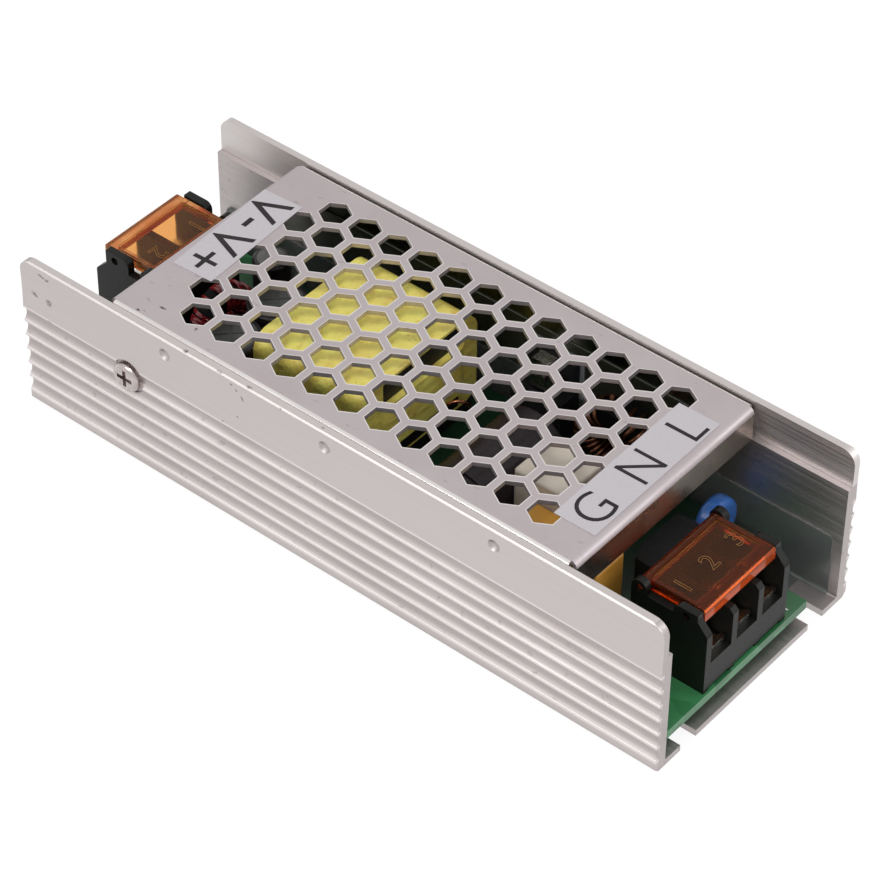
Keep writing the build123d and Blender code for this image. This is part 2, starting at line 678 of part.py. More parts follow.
def output_choke():
    """Standing ring choke beside the output terminals, wound all round."""
    angles = [i * 360 / CHOKE_TURNS for i in range(CHOKE_TURNS)]
    place = Pos(CHOKE_X, CHOKE_SHIFT, BOARD_TOP + CHOKE_RADIUS + SLIP) * Rot(0, 90, 0)
    pieces = toroid(CHOKE_OUTER, CHOKE_INNER, CHOKE_CORE_WIDTH, CHOKE_WIRE, angles)
    return [place * piece for piece in pieces]


def line_choke():
    """Standing ring choke with a winding on each half."""
    step = 180 / (LINE_CHOKE_TURNS + 1)
    angles = [side + i * step for side in (0, 180) for i in range(LINE_CHOKE_TURNS + 1) if i]
    angles.append(270)
    rise = LINE_CHOKE_RADIUS + SLIP
    place = Pos(LINE_CHOKE_X, LINE_CHOKE_SHIFT, BOARD_TOP + rise) * Rot(90, 0, 0)
    pieces = toroid(LINE_CHOKE_OUTER, LINE_CHOKE_INNER, LINE_CHOKE_CORE_WIDTH, LINE_CHOKE_WIRE, angles)
    return [place * piece for piece in pieces]


def capacitor_can(diameter, height, scored):
    """Standing capacitor with a rolled neck near its foot, its underside at z = 0."""
    can = Pos(0, 0, height / 2) * Cylinder(diameter / 2, height)
    can = fillet(can.edges(), CAN_EDGE)
    ring = Cylinder(diameter, CAN_NECK_LENGTH) - Cylinder(diameter / 2 - CAN_NECK_DEPTH, CAN_NECK_LENGTH)
    can -= Pos(0, 0, CAN_NECK_HEIGHT) * ring
    if scored:
        score = Box(diameter * CAN_TOP_SHARE, CAN_SCORE_WIDTH, 2 * CAN_SCORE_DEPTH)
        can -= Pos(0, 0, height) * (score + Rot(0, 0, 90) * score)
    return can


def output_capacitor(side):
    y = OUTPUT_CAP_SHIFT + side * OUTPUT_CAP_STEP / 2
    can = capacitor_can(OUTPUT_CAP_DIAMETER, OUTPUT_CAP_HEIGHT, True)
    return Pos(OUTPUT_CAP_X, y, BOARD_TOP) * Rot(0, 0, 45) * can


def small_capacitor():
    can = capacitor_can(SMALL_CAP_DIAMETER, SMALL_CAP_HEIGHT, False)
    return Pos(CHOKE_X, SMALL_CAP_SHIFT, BOARD_TOP) * can


def bulk_capacitor():
    """Large capacitor that lies on the board across the channel."""
    can = capacitor_can(BULK_DIAMETER, BULK_LENGTH, False)
    place = Pos(BULK_X, BULK_SHIFT - BULK_LENGTH / 2, BOARD_TOP + BULK_DIAMETER / 2)
    return place * Rot(-90, 0, 0) * can


def transformer_block(length, width, height):
    return Pos(TRANSFORMER_X, TRANSFORMER_SHIFT, WINDING_MIDDLE) * Box(length, width, height)


def transformer_winding():
    """Taped block round the core's yokes, with the winding standing out between them at both ends."""
    winding = transformer_block(TRANSFORMER_LENGTH, TRANSFORMER_WIDTH, WINDING_HEIGHT)
    winding = fillet(winding.edges().filter_by(Axis.X), TRANSFORMER_ROUND)
    bulge = transformer_block(TRANSFORMER_LENGTH + 2 * WINDING_BULGE, BULGE_WIDTH,
                              WINDING_HEIGHT - 2 * (TAPE + CORE_YOKE + SLIP))
    winding += fillet(bulge.edges().filter_by(Axis.Z), BULGE_ROUND)
    return winding - core_shape(SLIP)


def transformer_core():
    return core_shape(0)


def core_shape(margin):
    """Two yokes and the round leg between them, or the room for them with a margin."""
    yoke_z = (WINDING_HEIGHT - CORE_YOKE) / 2 - TAPE
    length = TRANSFORMER_LENGTH + (WINDING_BULGE if margin else 0)
    shape = upright(0, 0, -yoke_z, yoke_z, CORE_LEG + 2 * margin)
    for side in (-1, 1):
        yoke = Box(length, CORE_WIDTH + 2 * margin, CORE_YOKE + 2 * margin)
        shape += Pos(0, 0, side * yoke_z) * yoke
    return Pos(TRANSFORMER_X, TRANSFORMER_SHIFT, WINDING_MIDDLE) * shape


def transformer_bobbin():
    half_x = TRANSFORMER_LENGTH / 2 - BOBBIN_MARGIN
    half_y = TRANSFORMER_WIDTH / 2 - BOBBIN_MARGIN
    base = block(-half_x, half_x, -half_y, half_y, BOARD_TOP, BOBBIN_TOP)
    arch = block(-half_x + BOBBIN_FOOT, half_x - BOBBIN_FOOT, -TRANSFORMER_WIDTH, TRANSFORMER_WIDTH,
                 BOARD_TOP - FILM, BOARD_TOP + BOBBIN_BASE / 3)
    return Pos(TRANSFORMER_X, TRANSFORMER_SHIFT, 0) * (base - arch)


def board_box(x, y, length, width, height):
    """A box-shaped part on the board with rounded upright and top edges."""
    box = block(x - length / 2, x + length / 2, y - width / 2, y + width / 2, BOARD_TOP, BOARD_TOP + height)
    box = fillet(box.edges().filter_by(Axis.Z), BOX_ROUND)
    return fillet(box.faces().sort_by(Axis.Z)[-1].edges(), BOX_ROUND * 0.9)


def box_capacitor():
    return board_box(FILTER_BOX_X, FILTER_BOX_SHIFT, FILTER_BOX_LENGTH, FILTER_BOX_WIDTH, FILTER_BOX_HEIGHT)


def x_capacitor():
    return board_box(YELLOW_BOX_X, YELLOW_BOX_Y, YELLOW_BOX_LENGTH, YELLOW_BOX_WIDTH, YELLOW_BOX_HEIGHT)


def bridge_rectifier():
    """Flat four-lead rectifier that stands on its leads."""
    bottom = BOARD_TOP + BRIDGE_STAND
    body = block(-BRIDGE_THICKNESS / 2, BRIDGE_THICKNESS / 2, -BRIDGE_WIDTH / 2, BRIDGE_WIDTH / 2,
                 bottom, bottom + BRIDGE_HEIGHT)
    body = chamfer(body.edges().filter_by(Axis.X).group_by(Axis.Z)[-1], BRIDGE_CORNER)
    for i in range(4):
        y = (i - 1.5) * BRIDGE_LEAD_PITCH
        body += block(-PACKAGE_LEAD_THICKNESS / 2, PACKAGE_LEAD_THICKNESS / 2,
                      y - PACKAGE_LEAD_WIDTH / 2, y + PACKAGE_LEAD_WIDTH / 2, BOARD_TOP, bottom + BRIDGE_STAND)
    return Pos(BRIDGE_X, BRIDGE_SHIFT, 0) * body


def disc_part(x, y, turn):
    """A round coated disc that stands on two leads."""
    centre = BOARD_TOP + DISC_STAND + DISC_DIAMETER / 2
    disc = crosswise(0, centre, -DISC_THICKNESS / 2, DISC_THICKNESS / 2, DISC_DIAMETER)
    disc = fillet(disc.edges().filter_by(GeomType.CIRCLE), DISC_THICKNESS / 3)
    for side in (-1, 1):
        disc += upright(side * DISC_LEAD_PITCH / 2, 0, BOARD_TOP, centre, DISC_LEAD)
    return Pos(x, y, 0) * Rot(0, 0, turn) * disc


def power_package(x, side):
    """Tabbed package with its back to a wall and its leads on the board."""
    back = INNER_WALL - PAD
    bottom = BOARD_TOP + PACKAGE_STAND
    shoulder = WALL_SCREW_Z - PACKAGE_BELOW_HOLE
    half = TAB_WIDTH / 2
    package = block(-half, half, back - PACKAGE_THICKNESS, back, bottom, shoulder)
    package += block(-half, half, back - TAB_THICKNESS, back, shoulder - TAB_THICKNESS,
                     WALL_SCREW_Z + TAB_ABOVE_HOLE)
    package -= crosswise(0, WALL_SCREW_Z, back - 2 * TAB_THICKNESS, back + TAB_THICKNESS, TAB_HOLE)
    lead_y = back - PACKAGE_LEAD_FROM_BACK
    for i in (-1, 0, 1):
        middle = i * PACKAGE_LEAD_PITCH
        package += block(middle - PACKAGE_LEAD_WIDTH / 2, middle + PACKAGE_LEAD_WIDTH / 2,
                         lead_y - PACKAGE_LEAD_THICKNESS / 2, lead_y + PACKAGE_LEAD_THICKNESS / 2,
                         BOARD_TOP, bottom + PACKAGE_LEAD_WIDTH)
    return on_wall(package, x, side)


def wall_pad(x, side):
    """Thin insulating pad between a package's tab and the wall, above the film."""
    half = TAB_WIDTH / 2 + PAD_MARGIN
    high = WALL_SCREW_Z + TAB_ABOVE_HOLE + PAD_MARGIN
    pad = block(-half, half, INNER_WALL - PAD, INNER_WALL, PAD_BOTTOM, high)
    pad -= crosswise(0, WALL_SCREW_Z, 0, HALF_WIDTH, TAB_HOLE)
    return on_wall(pad, x, side)


def wall_screw(x, side):
    """Pan head screw whose head sits in the wall's milled pocket."""
    seat = HALF_WIDTH - POCKET_DEPTH
    tip = INNER_WALL - PAD - TAB_THICKNESS - NUT_HEIGHT - SCREW_PAST_NUT
    head = Pos(0, 0, SCREW_HEAD_HEIGHT / 2) * Cylinder(SCREW_HEAD / 2, SCREW_HEAD_HEIGHT)
    head = fillet(head.edges().group_by(Axis.Z)[-1], SCREW_HEAD_ROUND)
    head -= cross_recess(0, 0, SCREW_HEAD_HEIGHT)
    screw = Pos(0, seat, WALL_SCREW_Z) * Rot(-90, 0, 0) * head
    screw += crosswise(0, WALL_SCREW_Z, tip, seat, SCREW_THREAD)
    return on_wall(screw, x, side)


def wall_nut(x, side):
    """Hexagon nut against the package's tab."""
    face = INNER_WALL - PAD - TAB_THICKNESS
    nut = extrude(RegularPolygon(NUT_FLATS / math.sqrt(3), 6), NUT_HEIGHT)
    nut = Pos(0, face, WALL_SCREW_Z) * Rot(90, 0, 0) * nut
    nut -= crosswise(0, WALL_SCREW_Z, 0, HALF_WIDTH, SCREW_THREAD + 2 * SLIP)
    return on_wall(nut, x, side)


def on_wall(shape, x, side):
    """Move a shape made for the far wall at x = 0 to its wall."""
    return Pos(x, 0, 0) * (shape if side == FAR else Rot(0, 0, 180) * shape)


def axial_part(x, y, diameter, body):
    """A small part that lies along X with a wire from each end down to the board."""
    z = BOARD_TOP + diameter / 2
    lying = Rot(0, 90, 0)
    part = Pos(x, y, z) * lying * Cylinder(diameter / 2, body)
    part += Pos(x, y, z) * lying * Cylinder(AXIAL_LEAD / 2, RESISTOR_SPAN)
    for side in (-1, 1):
        end = x + side * (RESISTOR_SPAN - AXIAL_LEAD) / 2
        part += upright(end, y, BOARD_TOP, z, AXIAL_LEAD)
    return part


def row_places():
    """Middles in X of the low parts in the row beside the near wall, from their lengths."""
    lengths = {
        "optocoupler": COUPLER_LENGTH,
        "controller_chip": CHIP_LENGTH,
        "y_capacitor": DISC_DIAMETER,
        "board_diodes": RESISTOR_SPAN,
        "board_resistors": RESISTOR_SPAN,
        "fuse": FUSE_LENGTH,
        "thermistor": DISC_DIAMETER,
    }
    places = {}
    x = OUTPUT_CAP_X + OUTPUT_CAP_DIAMETER / 2 + PART_GAP
    for name, length in lengths.items():
        places[name] = x + length / 2
        x += length + ROW_GAP
    return places


def parts():
    """Every node with its shape or its list of separate solids."""
    row = row_places()
    choke_core, choke_winding = output_choke()
    line_core, line_winding = line_choke()
    chip = block(-CHIP_LENGTH / 2, CHIP_LENGTH / 2, -CHIP_WIDTH / 2, CHIP_WIDTH / 2,
                 BOARD_TOP, BOARD_TOP + CHIP_HEIGHT)
    coupler = block(-COUPLER_LENGTH / 2, COUPLER_LENGTH / 2, -COUPLER_WIDTH / 2, COUPLER_WIDTH / 2,
                    BOARD_TOP, BOARD_TOP + CHIP_HEIGHT)
    return {
        "channel_extrusion": channel_extrusion(),
        "top_cover": top_cover(),
        "output_label": output_label(),
        "input_label": input_label(),
        "circuit_board": circuit_board(),
        "board_spacers": board_spacers(),
        "insulation_film": insulation_film(),
        "input_terminal_body": at_input(terminal_body(INPUT_BLOCK)),
        "input_terminal_lid": at_input(terminal_lid(INPUT_BLOCK)),
        "input_terminal_clamps": [at_input(plate) for plate in clamp_plates(INPUT_BLOCK)],
        "input_terminal_screws": [at_input(screw) for screw in terminal_screws(INPUT_BLOCK)],
        "output_terminal_body": at_output(terminal_body(OUTPUT_BLOCK)),
        "output_terminal_lid": at_output(terminal_lid(OUTPUT_BLOCK)),
        "output_terminal_clamps": [at_output(plate) for plate in clamp_plates(OUTPUT_BLOCK)],
        "output_terminal_screws": [at_output(screw) for screw in terminal_screws(OUTPUT_BLOCK)],
        "output_choke_core": choke_core,
        "output_choke_winding": choke_winding,
        "output_capacitor_near": output_capacitor(NEAR),
        "output_capacitor_far": output_capacitor(FAR),
        "small_capacitor": small_capacitor(),
        "transformer_core": transformer_core(),
        "transformer_winding": transformer_winding(),
        "transformer_bobbin": transformer_bobbin(),
        "bulk_capacitor": bulk_capacitor(),
        "box_capacitor": box_capacitor(),
        "x_capacitor": x_capacitor(),
        "line_choke_core": line_core,
        "line_choke_winding": line_winding,
        "bridge_rectifier": bridge_rectifier(),
        "varistor": disc_part(VARISTOR_X, VARISTOR_SHIFT, 90),
        "power_transistor": power_package(TRANSISTOR_X, FAR),
        "transistor_pad": wall_pad(TRANSISTOR_X, FAR),
        "transistor_screw": wall_screw(TRANSISTOR_X, FAR),
        "transistor_nut": wall_nut(TRANSISTOR_X, FAR),
        "output_rectifier": power_package(RECTIFIER_X, NEAR),
        "rectifier_pad": wall_pad(RECTIFIER_X, NEAR),
        "rectifier_screw": wall_screw(RECTIFIER_X, NEAR),
        "rectifier_nut": wall_nut(RECTIFIER_X, NEAR),
        "optocoupler": Pos(row["optocoupler"], ROW_Y, 0) * coupler,
        "controller_chip": Pos(row["controller_chip"], ROW_Y, 0) * chip,
        "y_capacitor": disc_part(row["y_capacitor"], ROW_Y, 0),
        "board_diodes": [axial_part(row["board_diodes"], ROW_Y + (i - (DIODE_COUNT - 1) / 2) * AXIAL_STEP,
                                    DIODE_DIAMETER, DIODE_BODY) for i in range(DIODE_COUNT)],
        "board_resistors": [axial_part(row["board_resistors"],
                                       ROW_Y + (i - (RESISTOR_COUNT - 1) / 2) * AXIAL_STEP * 0.8,
                                       RESISTOR_DIAMETER, RESISTOR_BODY) for i in range(RESISTOR_COUNT)],
        "fuse": board_box(row["fuse"], ROW_Y, FUSE_LENGTH, FUSE_WIDTH, FUSE_HEIGHT),
        "thermistor": disc_part(row["thermistor"], ROW_Y, 0),
    }


def main():
    os.makedirs("parts", exist_ok=True)
    for name, shape in parts().items():
        if isinstance(shape, list):
            shape = Compound(children=[Compound(solid.wrapped) for solid in shape])
        export_step(shape, f"parts/{name}.step")


main()
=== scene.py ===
"""Looks and stage for an enclosed power supply in a ribbed aluminium channel."""

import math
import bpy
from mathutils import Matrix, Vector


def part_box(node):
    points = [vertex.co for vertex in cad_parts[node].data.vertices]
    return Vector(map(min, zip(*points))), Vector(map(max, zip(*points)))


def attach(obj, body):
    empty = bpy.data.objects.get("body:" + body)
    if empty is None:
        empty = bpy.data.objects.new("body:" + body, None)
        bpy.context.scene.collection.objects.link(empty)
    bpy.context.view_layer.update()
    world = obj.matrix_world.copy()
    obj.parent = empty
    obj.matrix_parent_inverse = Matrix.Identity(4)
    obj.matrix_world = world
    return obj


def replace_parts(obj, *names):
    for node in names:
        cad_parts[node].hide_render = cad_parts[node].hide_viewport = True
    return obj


bl_info = {
    "name": "Enclosed Power Supply",
    "version": (1, 0, 0),
    "blender": (4, 5, 0),
    "location": "View3D > Sidebar > Power Supply",
    "description": "Finishes the case, terminals and board of a small power supply and lights it",
    "category": "Object",
}

import bmesh
import bpy
from bpy.props import FloatProperty, FloatVectorProperty, IntProperty, StringProperty
from mathutils import Matrix, Vector

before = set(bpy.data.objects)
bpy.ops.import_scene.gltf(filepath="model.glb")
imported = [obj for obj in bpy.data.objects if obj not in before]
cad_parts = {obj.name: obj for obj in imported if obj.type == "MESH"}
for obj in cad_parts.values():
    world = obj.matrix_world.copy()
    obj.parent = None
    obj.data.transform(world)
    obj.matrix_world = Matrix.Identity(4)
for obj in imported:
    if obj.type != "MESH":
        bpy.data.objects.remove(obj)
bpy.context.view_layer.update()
MM = 0.001
ROOT = "case"


# Places on the part in millimetres. A box is two corners.

# NEAR_BAND, FAR_WALL and TOP_EDGES are painted light: these faces of the channel are painted lighter.
NEAR_BAND = ((-64, -25, 20.3), (64, -23.8, 29.9))
FAR_WALL = ((-64, 21.2, 23.5), (64, 25, 30.2))
TOP_EDGES = ((-64, -24.2, 29.9), (64, 24.2, 30.2))
RIBBED_HEIGHT = ((-64, -25, 0), (64, 25, 20.3))
BEHIND_RIBS = ((-65, -23.2, -1), (65, 23.2, 21))
# Painted shade: the channel's inside is painted darker.
CHANNEL_INSIDE = ((-46, -21.7, 1), (46, 21.7, 29))
# Painted shade: the cover's inside is painted darker.
COVER_INSIDE = ((-44.9, -21.7, 20), (44.9, 21.7, 29.1))
# Painted shade: the board under the cover is painted darker.
BOARD_UNDER_COVER = ((-53, -22, 0), (45, 22, 10))

# Worn marks, and in the channel's last three painted shade in its stake dimples: middle, half sizes and turn
# about Y in degrees
CHANNEL_WEAR_AND_DIMPLE_SHADE = (
    ((-58.3, -24, 28.4), (1.0, 0.6, 0.3), 15), ((-57.1, -24, 28.2), (0.6, 0.6, 0.35), -30),
    ((-60.2, -24, 23.8), (0.9, 0.6, 0.5), 20), ((-57.1, -24, 23.6), (0.8, 0.6, 0.9), 30),
    ((-57.2, -24, 19.8), (0.6, 0.6, 0.2), 0), ((-27.9, -23.6, 30), (0.6, 0.45, 0.3), 0),
    ((-20.9, -23.8, 30), (0.8, 0.3, 0.3), 0), ((-15.0, -23.6, 30), (0.7, 0.4, 0.3), 0),
    ((-0.8, -23.2, 30), (0.35, 0.25, 0.3), 0), ((-8.5, -24, 29.7), (0.3, 0.4, 0.25), 0),
    ((-18.4, -24, 28.9), (0.35, 0.6, 0.25), 0), ((-17.5, -24, 28.2), (0.25, 0.6, 0.4), 0),
    ((-16.3, -24, 27.1), (0.25, 0.6, 0.7), -25), ((-17.5, -24, 22.8), (0.3, 0.6, 0.22), 0),
    ((-20.5, -24.2, 20.3), (0.3, 0.8, 0.2), 0), ((58.9, -24.4, 12.2), (0.25, 1.0, 0.25), 0),
    ((48.1, -24.4, 4.8), (0.25, 1.0, 0.25), 0), ((28.1, -24.4, 16.5), (0.25, 1.0, 0.25), 0),
    ((-32.7, -23.8, 27.2), (0.65, 0.7, 0.6), 0), ((-0.4, -23.8, 27.2), (0.65, 0.7, 0.6), 0),
    ((31.9, -23.8, 27.2), (0.65, 0.7, 0.6), 0))
COVER_MARKS = (
    ((-40.1, -21.1, 29.9), (0.5, 0.25, 0.4), 0), ((-39.2, -20.7, 29.9), (0.25, 0.15, 0.4), 0),
    ((-37.5, -18.4, 29.9), (0.8, 0.3, 0.4), 0), ((-30.2, -18.8, 29.9), (0.35, 0.45, 0.4), 0),
    ((8.4, -22.0, 29.9), (0.5, 0.25, 0.5), 0), ((10.6, 21.8, 29.9), (0.8, 0.2, 0.4), 0),
    ((13.4, 22.0, 29.9), (0.5, 0.2, 0.4), 0), ((15.6, 22.0, 29.9), (0.6, 0.2, 0.4), 0))

# Cover: how far the painted highlight on its bend and the painted shade of the gap beside it reach in from
# the sheet's sides
BEND_WIDTH = 0.85
GAP_WIDTH = 0.2
# Cover: half width, heights and depth of the end flanges' outer faces, painted darker and warmer as painted
# shade and a painted warm reflection
FLANGE_HALF = 21.9
FLANGE_LOW, FLANGE_HIGH = 22, 28.7
FLANGE_SKIN = 0.1
# Cover: places along Y of the painted highlights on the side flanges' lower edges, thin bright wires,
# their height over the flange's lowest point, how far they stop short of its ends, and their width
EDGE_SIDES = (("near", -21.5), ("far", 21.5))
EDGE_RISE = 0.05
EDGE_STOP = 2
EDGE_WIDTH = 0.28
# Cover: how high a hole's rolled edge stands at the hole and at its outer side
RIM_HIGH = 0.02
RIM_LOW = 0.005
# Print: how far it lies over the labels and over the board
LABEL_PRINT_LIFT = 0.01
BOARD_PRINT_LIFT = 0.02
# Capacitors: how deep the bare top reaches
BARE_DEPTH = 0.4

# Lids: width of the sides beside the panel, of the rim round its floor, and of the lid's outer edge
LID_SIDE = 1.95
LID_RIM = 0.14
LID_EDGE = 0.25
# Lids: how deep the panel lies under the lid's top
PANEL_DEPTH = 0.25

# White lines on the board: middle, length and width
BOARD_PRINT = ((53.1, 13.2, 0.3, 5.0), (57.0, 10.9, 8.4, 0.3),
               (53.1, -16.0, 0.3, 4.0), (-57.0, 13.6, 8.0, 0.3))
LEAD_POINTS = [(-3.4, 4.0, 9.8), (-1.6, 4.6, 13.8), (0.2, 6.0, 15.8),
               (2.0, 8.0, 15.0), (2.6, 9.4, 10.0), (2.6, 9.6, 5.7)]
LEAD_WIRE = 0.55

# Rings of the chokes: axis, outer and inner diameter, and height
OUTPUT_RING = ("X", 12.0, 6.2, 3.8)
LINE_RING = ("Y", 13.6, 7.4, 4.4)
# Points of the wire in one turn, and how strongly its turns are drawn together in a bunch
TURN_POINTS = 8
BUNCHING = 0.85

# Lights: name, place in metres, size and power. All of them aim at the same point.
LIGHTS = (("left_light", (-0.22, -0.78, 0.58), 0.35, 2.8),
          ("top_light", (0.22, -0.30, 0.95), 0.3, 2.6),
          ("right_light", (0.68, 0.57, 0.47), 0.4, 1.5))
LIGHT_AIM = Vector((0, 0, 0.02))
WHITE = (1, 1, 1, 1)

# The range that a noise mostly keeps to
NOISE = (0.3, 0.7)


# Nodes

def linear(code):
    """An sRGB hex colour as linear values with alpha."""
    values = [int(code[i:i + 2], 16) / 255 for i in (1, 3, 5)]
    return [v / 12.92 if v <= 0.04045 else ((v + 0.055) / 1.055) ** 2.4 for v in values] + [1.0]


def add(tree, kind, *values, out=0, inputs=None, **settings):
    """One output of a new node with its settings, and its inputs set or linked in order or by name."""
    made = tree.nodes.new("ShaderNode" + kind)
    for name, value in settings.items():
        setattr(made, name, value)
    for key, value in (*enumerate(values), *(inputs or {}).items()):
        if isinstance(value, bpy.types.NodeSocket):
            tree.links.new(value, made.inputs[key])
        else:
            made.inputs[key].default_value = value
    return made.outputs[out] if made.outputs else None


def place(tree, x, y, z):
    """Object coordinates, scaled so that one unit is the given number of millimetres."""
    scale = (1 / (x * MM), 1 / (y * MM), 1 / (z * MM))
    return add(tree, "Mapping", add(tree, "TexCoord", out="Object"), inputs={"Scale": scale})


def layered(tree, base, *layers):
    """A base colour with others laid over it in turn, each through its mask, all hex codes or links."""
    for mask, colour in layers:
        base, colour = (linear(value) if isinstance(value, str) else value for value in (base, colour))
        base = add(tree, "Mix", mask, inputs={6: base, 7: colour}, data_type="RGBA", out=2)
    return base


def within(tree, low, high, fade=0.01):
    """One inside a box given by two corners in millimetres and zero outside it, fading out along X."""
    middle = [(a + b) / 2 * MM for a, b in zip(low, high)]
    half = [(b - a) / 2 * MM for a, b in zip(low, high)]
    away = add(tree, "VectorMath", add(tree, "TexCoord", out="Object"), middle, operation="SUBTRACT")
    share = add(tree, "VectorMath", away, half, operation="DIVIDE")
    sides = add(tree, "SeparateXYZ", add(tree, "VectorMath", share, operation="ABSOLUTE")).node.outputs
    along = add(tree, "MapRange", sides["X"], 1 - fade, 1.0, 1.0, 0.0)
    across = add(tree, "Math", sides["Y"], sides["Z"], operation="MAXIMUM")
    across = add(tree, "Math", across, 1.0, operation="LESS_THAN")
    return add(tree, "Math", along, across, operation="MULTIPLY")


def worn_and_shaded_spots(tree, spots):
    """A mask of small broken marks, worn spots and painted shade, each a middle, half sizes and a turn about
    Y.
    """
    where = add(tree, "TexCoord", out="Object")
    total = 0.0
    for middle, half, turn in spots:
        local = add(tree, "Mapping", where, vector_type="TEXTURE",
                    inputs={"Location": [v * MM for v in middle], "Rotation": (0.0, math.radians(turn), 0.0),
                            "Scale": [v * MM for v in half]})
        away = add(tree, "VectorMath", local, operation="LENGTH", out="Value")
        total = add(tree, "Math", add(tree, "MapRange", away, 0.5, 1.0, 1.0, 0.0), total, operation="MAXIMUM")
    broken = add(tree, "TexNoise", place(tree, 0.35, 0.35, 0.35), inputs={"Scale": 1.0})
    broken = add(tree, "MapRange", broken, *NOISE, 0.0, 1.2)
    return add(tree, "Math", total, broken, operation="MULTIPLY")


def begin(name, **sockets):
    """A new material with its shader, whose constant sockets are set by name."""
    material = bpy.data.materials.new(name)
    material.use_nodes = True
    tree = material.node_tree
    shader = tree.nodes["Principled BSDF"]
    for key, value in sockets.items():
        shader.inputs[key.replace("_", " ")].default_value = value
    return material, tree, shader


def surface(tree, shader, base, rough, height=None, depth=0.0):
    """Link the colour, the roughness and, for a height, relief of the given depth in millimetres."""
    tree.links.new(base, shader.inputs["Base Color"])
    tree.links.new(rough, shader.inputs["Roughness"])
    if height is not None:
        relief = add(tree, "Bump", inputs={"Height": height, "Distance": depth * MM, "Strength": 1.0})
        tree.links.new(relief, shader.inputs["Normal"])


# Objects

def centre(node):
    """The middle of a node's box in metres."""
    low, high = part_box(node)
    return (low + high) / 2


def dress(name, material):
    """Give a node of the model its finished material."""
    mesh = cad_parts[name].data
    mesh.materials.clear()
    mesh.materials.append(material)


def finished(obj, body, material, smooth=True):
    """Put a new piece's place in its mesh, give it its material and tie it to its body."""
    bpy.context.scene.collection.objects.link(obj)
    obj.data.transform(obj.matrix_basis)
    obj.matrix_basis = Matrix.Identity(4)
    obj.data.materials.clear()
    obj.data.materials.append(material)
    for face in obj.data.polygons:
        face.use_smooth = smooth
    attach(obj, body)
    return obj


def from_bmesh(name, shape):
    """An object made from a bmesh, which is freed."""
    mesh = bpy.data.meshes.new(name)
    bmesh.ops.recalc_face_normals(shape, faces=shape.faces)
    shape.to_mesh(mesh)
    shape.free()
    return bpy.data.objects.new(name, mesh)


def meshed(name, curve):
    """An object with the mesh of a curve or text."""
    source = bpy.data.objects.new(name, curve)
    bpy.context.scene.collection.objects.link(source)
    bpy.context.view_layer.update()
    ready = source.evaluated_get(bpy.context.evaluated_depsgraph_get())
    mesh = bpy.data.meshes.new_from_object(ready)
    bpy.data.objects.remove(source)
    return bpy.data.objects.new(name, mesh)


def lettering(name, text, size):
    """A text about the origin, still without a thickness or an outline."""
    curve = bpy.data.curves.new(name, "FONT")
    curve.body = text
    curve.size = size
    curve.align_x = "CENTER"
    curve.align_y = "CENTER"
    curve.resolution_u = 6
    return curve


def wire(name, points, diameter):
    """A round wire along smooth points in millimetres."""
    curve = bpy.data.curves.new(name, "CURVE")
    curve.dimensions = "3D"
    curve.bevel_depth = diameter / 2 * MM
    curve.bevel_resolution = 3
    curve.use_fill_caps = True
    curve.resolution_u = 3
    line = curve.splines.new("NURBS")
    line.points.add(len(points) - 1)
    for point, where in zip(line.points, points):
        point.co = (*(Vector(where) * MM), 1.0)
    line.order_u = 3
    line.use_endpoint_u = True
    return meshed(name, curve)


# Materials

def mill_aluminium(colour, shade, first_rib, pitch):
    """Mill-finish extruded aluminium: fine lines along its length, a painted highlight on the rib edges,
    painted light on the upper faces and in the grooves, and painted shade inside.
    """
    material, tree, shader = begin("mill_finish_aluminium", Metallic=1.0)
    lines = add(tree, "TexNoise", place(tree, 60, 0.35, 0.35), inputs={"Scale": 1.0, "Detail": 4.0})
    clouds = add(tree, "TexNoise", place(tree, 14, 9, 9), inputs={"Scale": 1.0, "Detail": 3.0})
    specks = add(tree, "TexNoise", place(tree, 1.3, 1.1, 1.1), inputs={"Scale": 1.0})
    ribs = add(tree, "Math", within(tree, *RIBBED_HEIGHT), within(tree, *BEHIND_RIBS),
               operation="SUBTRACT", use_clamp=True)
    height = add(tree, "SeparateXYZ", add(tree, "TexCoord", out="Object"), out="Z")
    height = add(tree, "Math", height, first_rib, operation="SUBTRACT")
    share = add(tree, "Math", height, pitch, operation="DIVIDE")
    share = add(tree, "Math", share, operation="FRACT")
    upper = add(tree, "MapRange", share, 0.3, 0.8, 0.0, 0.75)
    away = add(tree, "Math", height, pitch / 2, operation="PINGPONG")
    edge = add(tree, "MapRange", away, 0.15 * MM, 0.4 * MM, 0.8, 0.0)
    base = layered(
        tree, colour,
        (add(tree, "MapRange", clouds, *NOISE), shade),
        (add(tree, "MapRange", lines, *NOISE, 0.0, 0.2), shade),
        (add(tree, "MapRange", specks, 0.66, 0.74, 0.0, 0.35), "#8C8684"),
        # Painted light: the near band, the far wall and the top edges are painted lighter.
        (within(tree, *NEAR_BAND), "#D6CFCE"),
        (within(tree, *FAR_WALL), "#DED8D6"),
        (within(tree, *TOP_EDGES), "#DCD5D3"),
        # Painted light in the upper part of each groove, and a painted highlight along each rib edge.
        (add(tree, "Math", upper, ribs, operation="MULTIPLY"), "#DAD3D1"),
        (add(tree, "Math", edge, ribs, operation="MULTIPLY"), "#F4EEEC"),
        # Worn marks, and painted shade in the three stake dimples.
        (worn_and_shaded_spots(tree, CHANNEL_WEAR_AND_DIMPLE_SHADE), "#7E7674"),
        # Painted shade: the inside is painted darker.
        (within(tree, *CHANNEL_INSIDE, fade=0.25), "#6E7266"))
    rough = add(tree, "MapRange", lines, *NOISE, 0.42, 0.56)
    rough = add(tree, "Math", ribs, 0.12, rough, operation="MULTIPLY_ADD")
    surface(tree, shader, base, rough, lines, 0.009)
    return material


